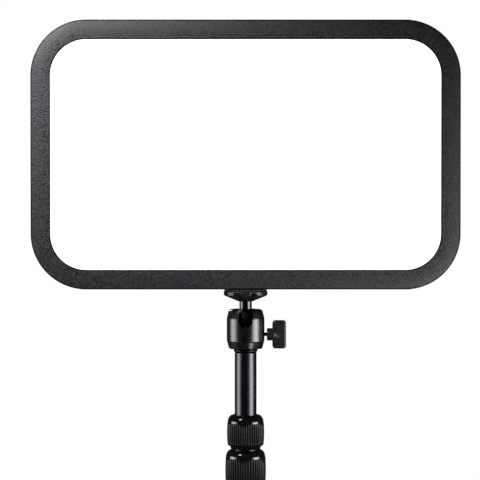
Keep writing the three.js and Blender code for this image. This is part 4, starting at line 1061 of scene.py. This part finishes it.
dial_radius = (dial_high.x - dial_low.x) / 2
dial_low_y = plate_high.y + 2 * CLEAR
for node, body, side in (("brightness_dial", "brightness_dial", -1), ("colour_dial", "colour_dial", 1)):
    top = dial_high.y
    profile = fillet([
        (0, top - 0.5, 0), (dial_radius - 3.2, top - 0.5, 0.3), (dial_radius - 2.8, top, 0.3),
        (dial_radius - 1.2, top, 0.3), (dial_radius, top - 1.2, 0.2), (dial_radius, dial_low_y + 0.9, 0),
        (dial_radius, dial_low_y + 0.4, 0.2), (dial_radius - 0.5, dial_low_y, 0.2), (3, dial_low_y, 0),
        (2.5, dial_low_y, 0), (2.5, dial_low.y, 0), (0, dial_low.y, 0),
    ])
    # Extra rings along the skirt keep the knurl's ends crisp.
    split = next(i for i, (r, h) in enumerate(profile) if h < top - 1.25)
    skirt = [(dial_radius, top - 1.3 - (top - 1.3 - dial_low_y - 0.95) * k / 3) for k in range(4)]
    dial = turned(f"{node}_turned", profile[:split] + skirt + profile[split:], KNURLS * 6, "Y",
                  (side * dial_x, 0, dial_z), shape=knurled)
    fit(dial, body, "anodised", anodised_turned, node, crease=35)
    line = lofted(f"{node}_line", (0.8, 4.2, 0.3), [(0, top - 0.55), (0, top - 0.46)],
                  lambda u, v, y: (side * dial_x + u, y, dial_z + v + 5), steps=3)
    fit(line, body, "white_film", printed_ink)

# ----------------------------------------
# Buttons: round nylon caps held behind the plate by a flange, dished for the fingertip.

for node, side in (("power_button", -1), ("mode_button", 1)):
    flange = (button_high.x - button_low.x) / 2
    top = button_high.y
    dish = [(BUTTON * 0.8 * k / 6, top - 0.45 + 0.45 * (k / 6) ** 2) for k in range(7)]
    button = turned(f"{node}_cap", dish + fillet([
        (BUTTON * 0.82, top, 0), (BUTTON, top, 0.5), (BUTTON, plate_low.y - CLEAR, 0.1),
        (flange, plate_low.y - CLEAR, 0.2), (flange, button_low.y, 0.2), (0, button_low.y, 0),
    ]), 64, "Y", (side * button_x, 0, button_z))
    fit(button, node, "knob_plastic", moulded_nylon, node)

# ----------------------------------------
# Power inlet: a barrel socket in the housing's side, moulded in gloss black with a round flange and
# a centre pin.

inlet_flange = (inlet_high.z - inlet_low.z) / 2
inlet = turned("dc_inlet_moulded", fillet([
    (0, inlet_high.x - 2.3, 0), (0.9, inlet_high.x - 2.5, 0.2), (1.2, inlet_high.x - 3.2, 0.2),
    (1.2, inlet_low.x + 2, 0), (3.15, inlet_low.x + 2, 0), (3.15, inlet_high.x - 0.4, 0.1),
    (3.5, inlet_high.x, 0.15), (inlet_flange, inlet_high.x, 0.35), (inlet_flange, inlet_high.x - 1, 0),
    (INLET_BARREL, inlet_high.x - 1, 0), (INLET_BARREL, inlet_low.x, 0), (0, inlet_low.x, 0),
]), 64, "X", (0, inlet_y, inlet_z))
fit(inlet, "panel", "gloss_plastic", polished_abs, "dc_inlet")

# ----------------------------------------
# Machine screws: button heads with a hexagon socket, in black zinc. Six close the cover and four
# hold the control plate.

SHANK = 1.25
KEY = 1.05
for node in [f"cover_screw_{i}" for i in range(1, 7)] + [f"plate_screw_{i}" for i in range(1, 5)]:
    low, high = corners(node)
    x, z = (low.x + high.x) / 2, (low.z + high.z) / 2
    head = (high.z - low.z) / 2
    crown_y = high.y
    dome = [(head * sin(t), crown_y - 1.65 * (1 - cos(t))) for t in [pi / 2 * k / 8 for k in range(9)]]
    shank = [(head, crown_y - SCREW_HEAD), (SHANK, crown_y - SCREW_HEAD), (SHANK, low.y + 0.4),
             (SHANK - 0.35, low.y), (0, low.y)]
    screw = turned(f"{node}_zinc", dome + shank, 48, "Y", (x, 0, z))
    hexagon = [(x + KEY * cos(TURN * k / 6), z + KEY * sin(TURN * k / 6)) for k in range(6)]
    key_socket = prism("key_socket", hexagon, crown_y - 1.2, crown_y + 1, lambda u, v, y: (u, y, v))
    fit(carved(screw, key_socket), "panel", "screw_steel", black_zinc, node, crease=40)

# ----------------------------------------
# Floor: a plain pale disc just under the hand wheel.

pale_floor = grained("pale_floor", 0xf0f0f0, 0xfafafa, 8, 0.02, (0.7, 0.85), mottle=300,
                     Emission_Color=[1.0, 1.0, 1.0, 1.0], Emission_Strength=0.8)
FLOOR_GAP = 3
FLOOR_RADIUS = 2200
FLOOR_THICKNESS = 10
floor_z = cad_box[0][2] / MM - FLOOR_GAP
floor_foot = floor_z - FLOOR_THICKNESS
studio_floor = turned("studio_floor", [
    (0, floor_foot), (FLOOR_RADIUS, floor_foot), (FLOOR_RADIUS, floor_z), (0, floor_z),
], 128)
studio_floor.data.materials.append(pale_floor)
studio_floor.visible_glossy = False

# ----------------------------------------
# Studio light: a white room that only the camera sees, a weak fill, an upright soft box on each
# side for the pole, a key light high on the left, a weak one low on the right, one behind
# the panel and two on the clamp. Their grids keep each light on its own part of the piece.

FILL = 0.2
MIRRORED = 0.03
world = bpy.data.worlds.new("studio")
bpy.context.scene.world = world
world.use_nodes = True
backdrop = world.node_tree.nodes["Background"]
path = add_node(world.node_tree, "LightPath")
lit = add_node(world.node_tree, "MapRange", {"Value": path.outputs["Is Diffuse Ray"],
                                             "To Min": MIRRORED, "To Max": FILL})
seen = add_node(world.node_tree, "Mix", {0: path.outputs["Is Camera Ray"], 2: lit.outputs[0], 3: 1.0})
backdrop.inputs["Color"].default_value = [1.0, 1.0, 1.0, 1.0]
world.node_tree.links.new(seen.outputs[0], backdrop.inputs["Strength"])


def soft_box(name, spot, aim, width, tall, spread, power, colour):
    """A soft box at one point, turned to face another; the spread is that of its grid, in degrees."""
    lamp = bpy.data.lights.new(name, "AREA")
    lamp.shape = "RECTANGLE"
    lamp.size = width
    lamp.size_y = tall
    lamp.spread = radians(spread)
    lamp.energy = power
    lamp.color = colour
    box = bpy.data.objects.new(name, lamp)
    box.location = spot
    box.rotation_euler = (Vector(aim) - Vector(spot)).to_track_quat("-Z", "Y").to_euler()
    box.visible_camera = False
    bpy.context.collection.objects.link(box)


POLE = (0, 0, 0.31)
CLAMP = (0, 0, -0.05)
WHITE = (1.0, 1.0, 1.0)
soft_box("left_strip", (-0.98, -0.17, 0.29), POLE, 0.85, 0.36, 60, 1.09, (1.0, 0.99, 0.98))
soft_box("right_strip", (0.90, -0.42, 0.29), POLE, 0.80, 0.36, 60, 1.56, (0.97, 0.98, 1.0))
soft_box("high_key", (-0.50, -0.49, 1.08), (-0.19, 0, 0.69), 0.25, 0.25, 38, 1.15, WHITE)
soft_box("low_fill", (0.50, -0.49, 0.10), (0.19, 0, 0.44), 0.25, 0.25, 26, 0.21, WHITE)
soft_box("rear_key", (-0.75, 0.95, 1.15), (0, 0, 0.62), 0.12, 0.12, 14, 0.9, WHITE)
soft_box("clamp_key", (0.60, 0.55, 0.00), CLAMP, 0.3, 0.3, 24, 0.7, WHITE)
soft_box("clamp_side", (0.60, -0.60, 0.00), CLAMP, 0.3, 0.3, 24, 0.7, WHITE)

# ----------------------------------------
# Camera: a little below the panel's middle and almost level, with the pole running out of view.

DISTANCE = 1400
DROP = 53.8
TIP = 0.8
camera = bpy.data.objects.new("camera", bpy.data.cameras.new("camera"))
bpy.context.collection.objects.link(camera)
camera.data.lens = 122.26
camera.data.sensor_width = 36
camera.data.shift_x = -0.0117
camera.location = Vector((0, panel_front - DISTANCE, panel_centre - DROP)) * MM
camera.rotation_euler = (radians(90 - TIP), 0, 0)
bpy.context.scene.camera = camera
bpy.context.scene.view_settings.view_transform = "Standard"
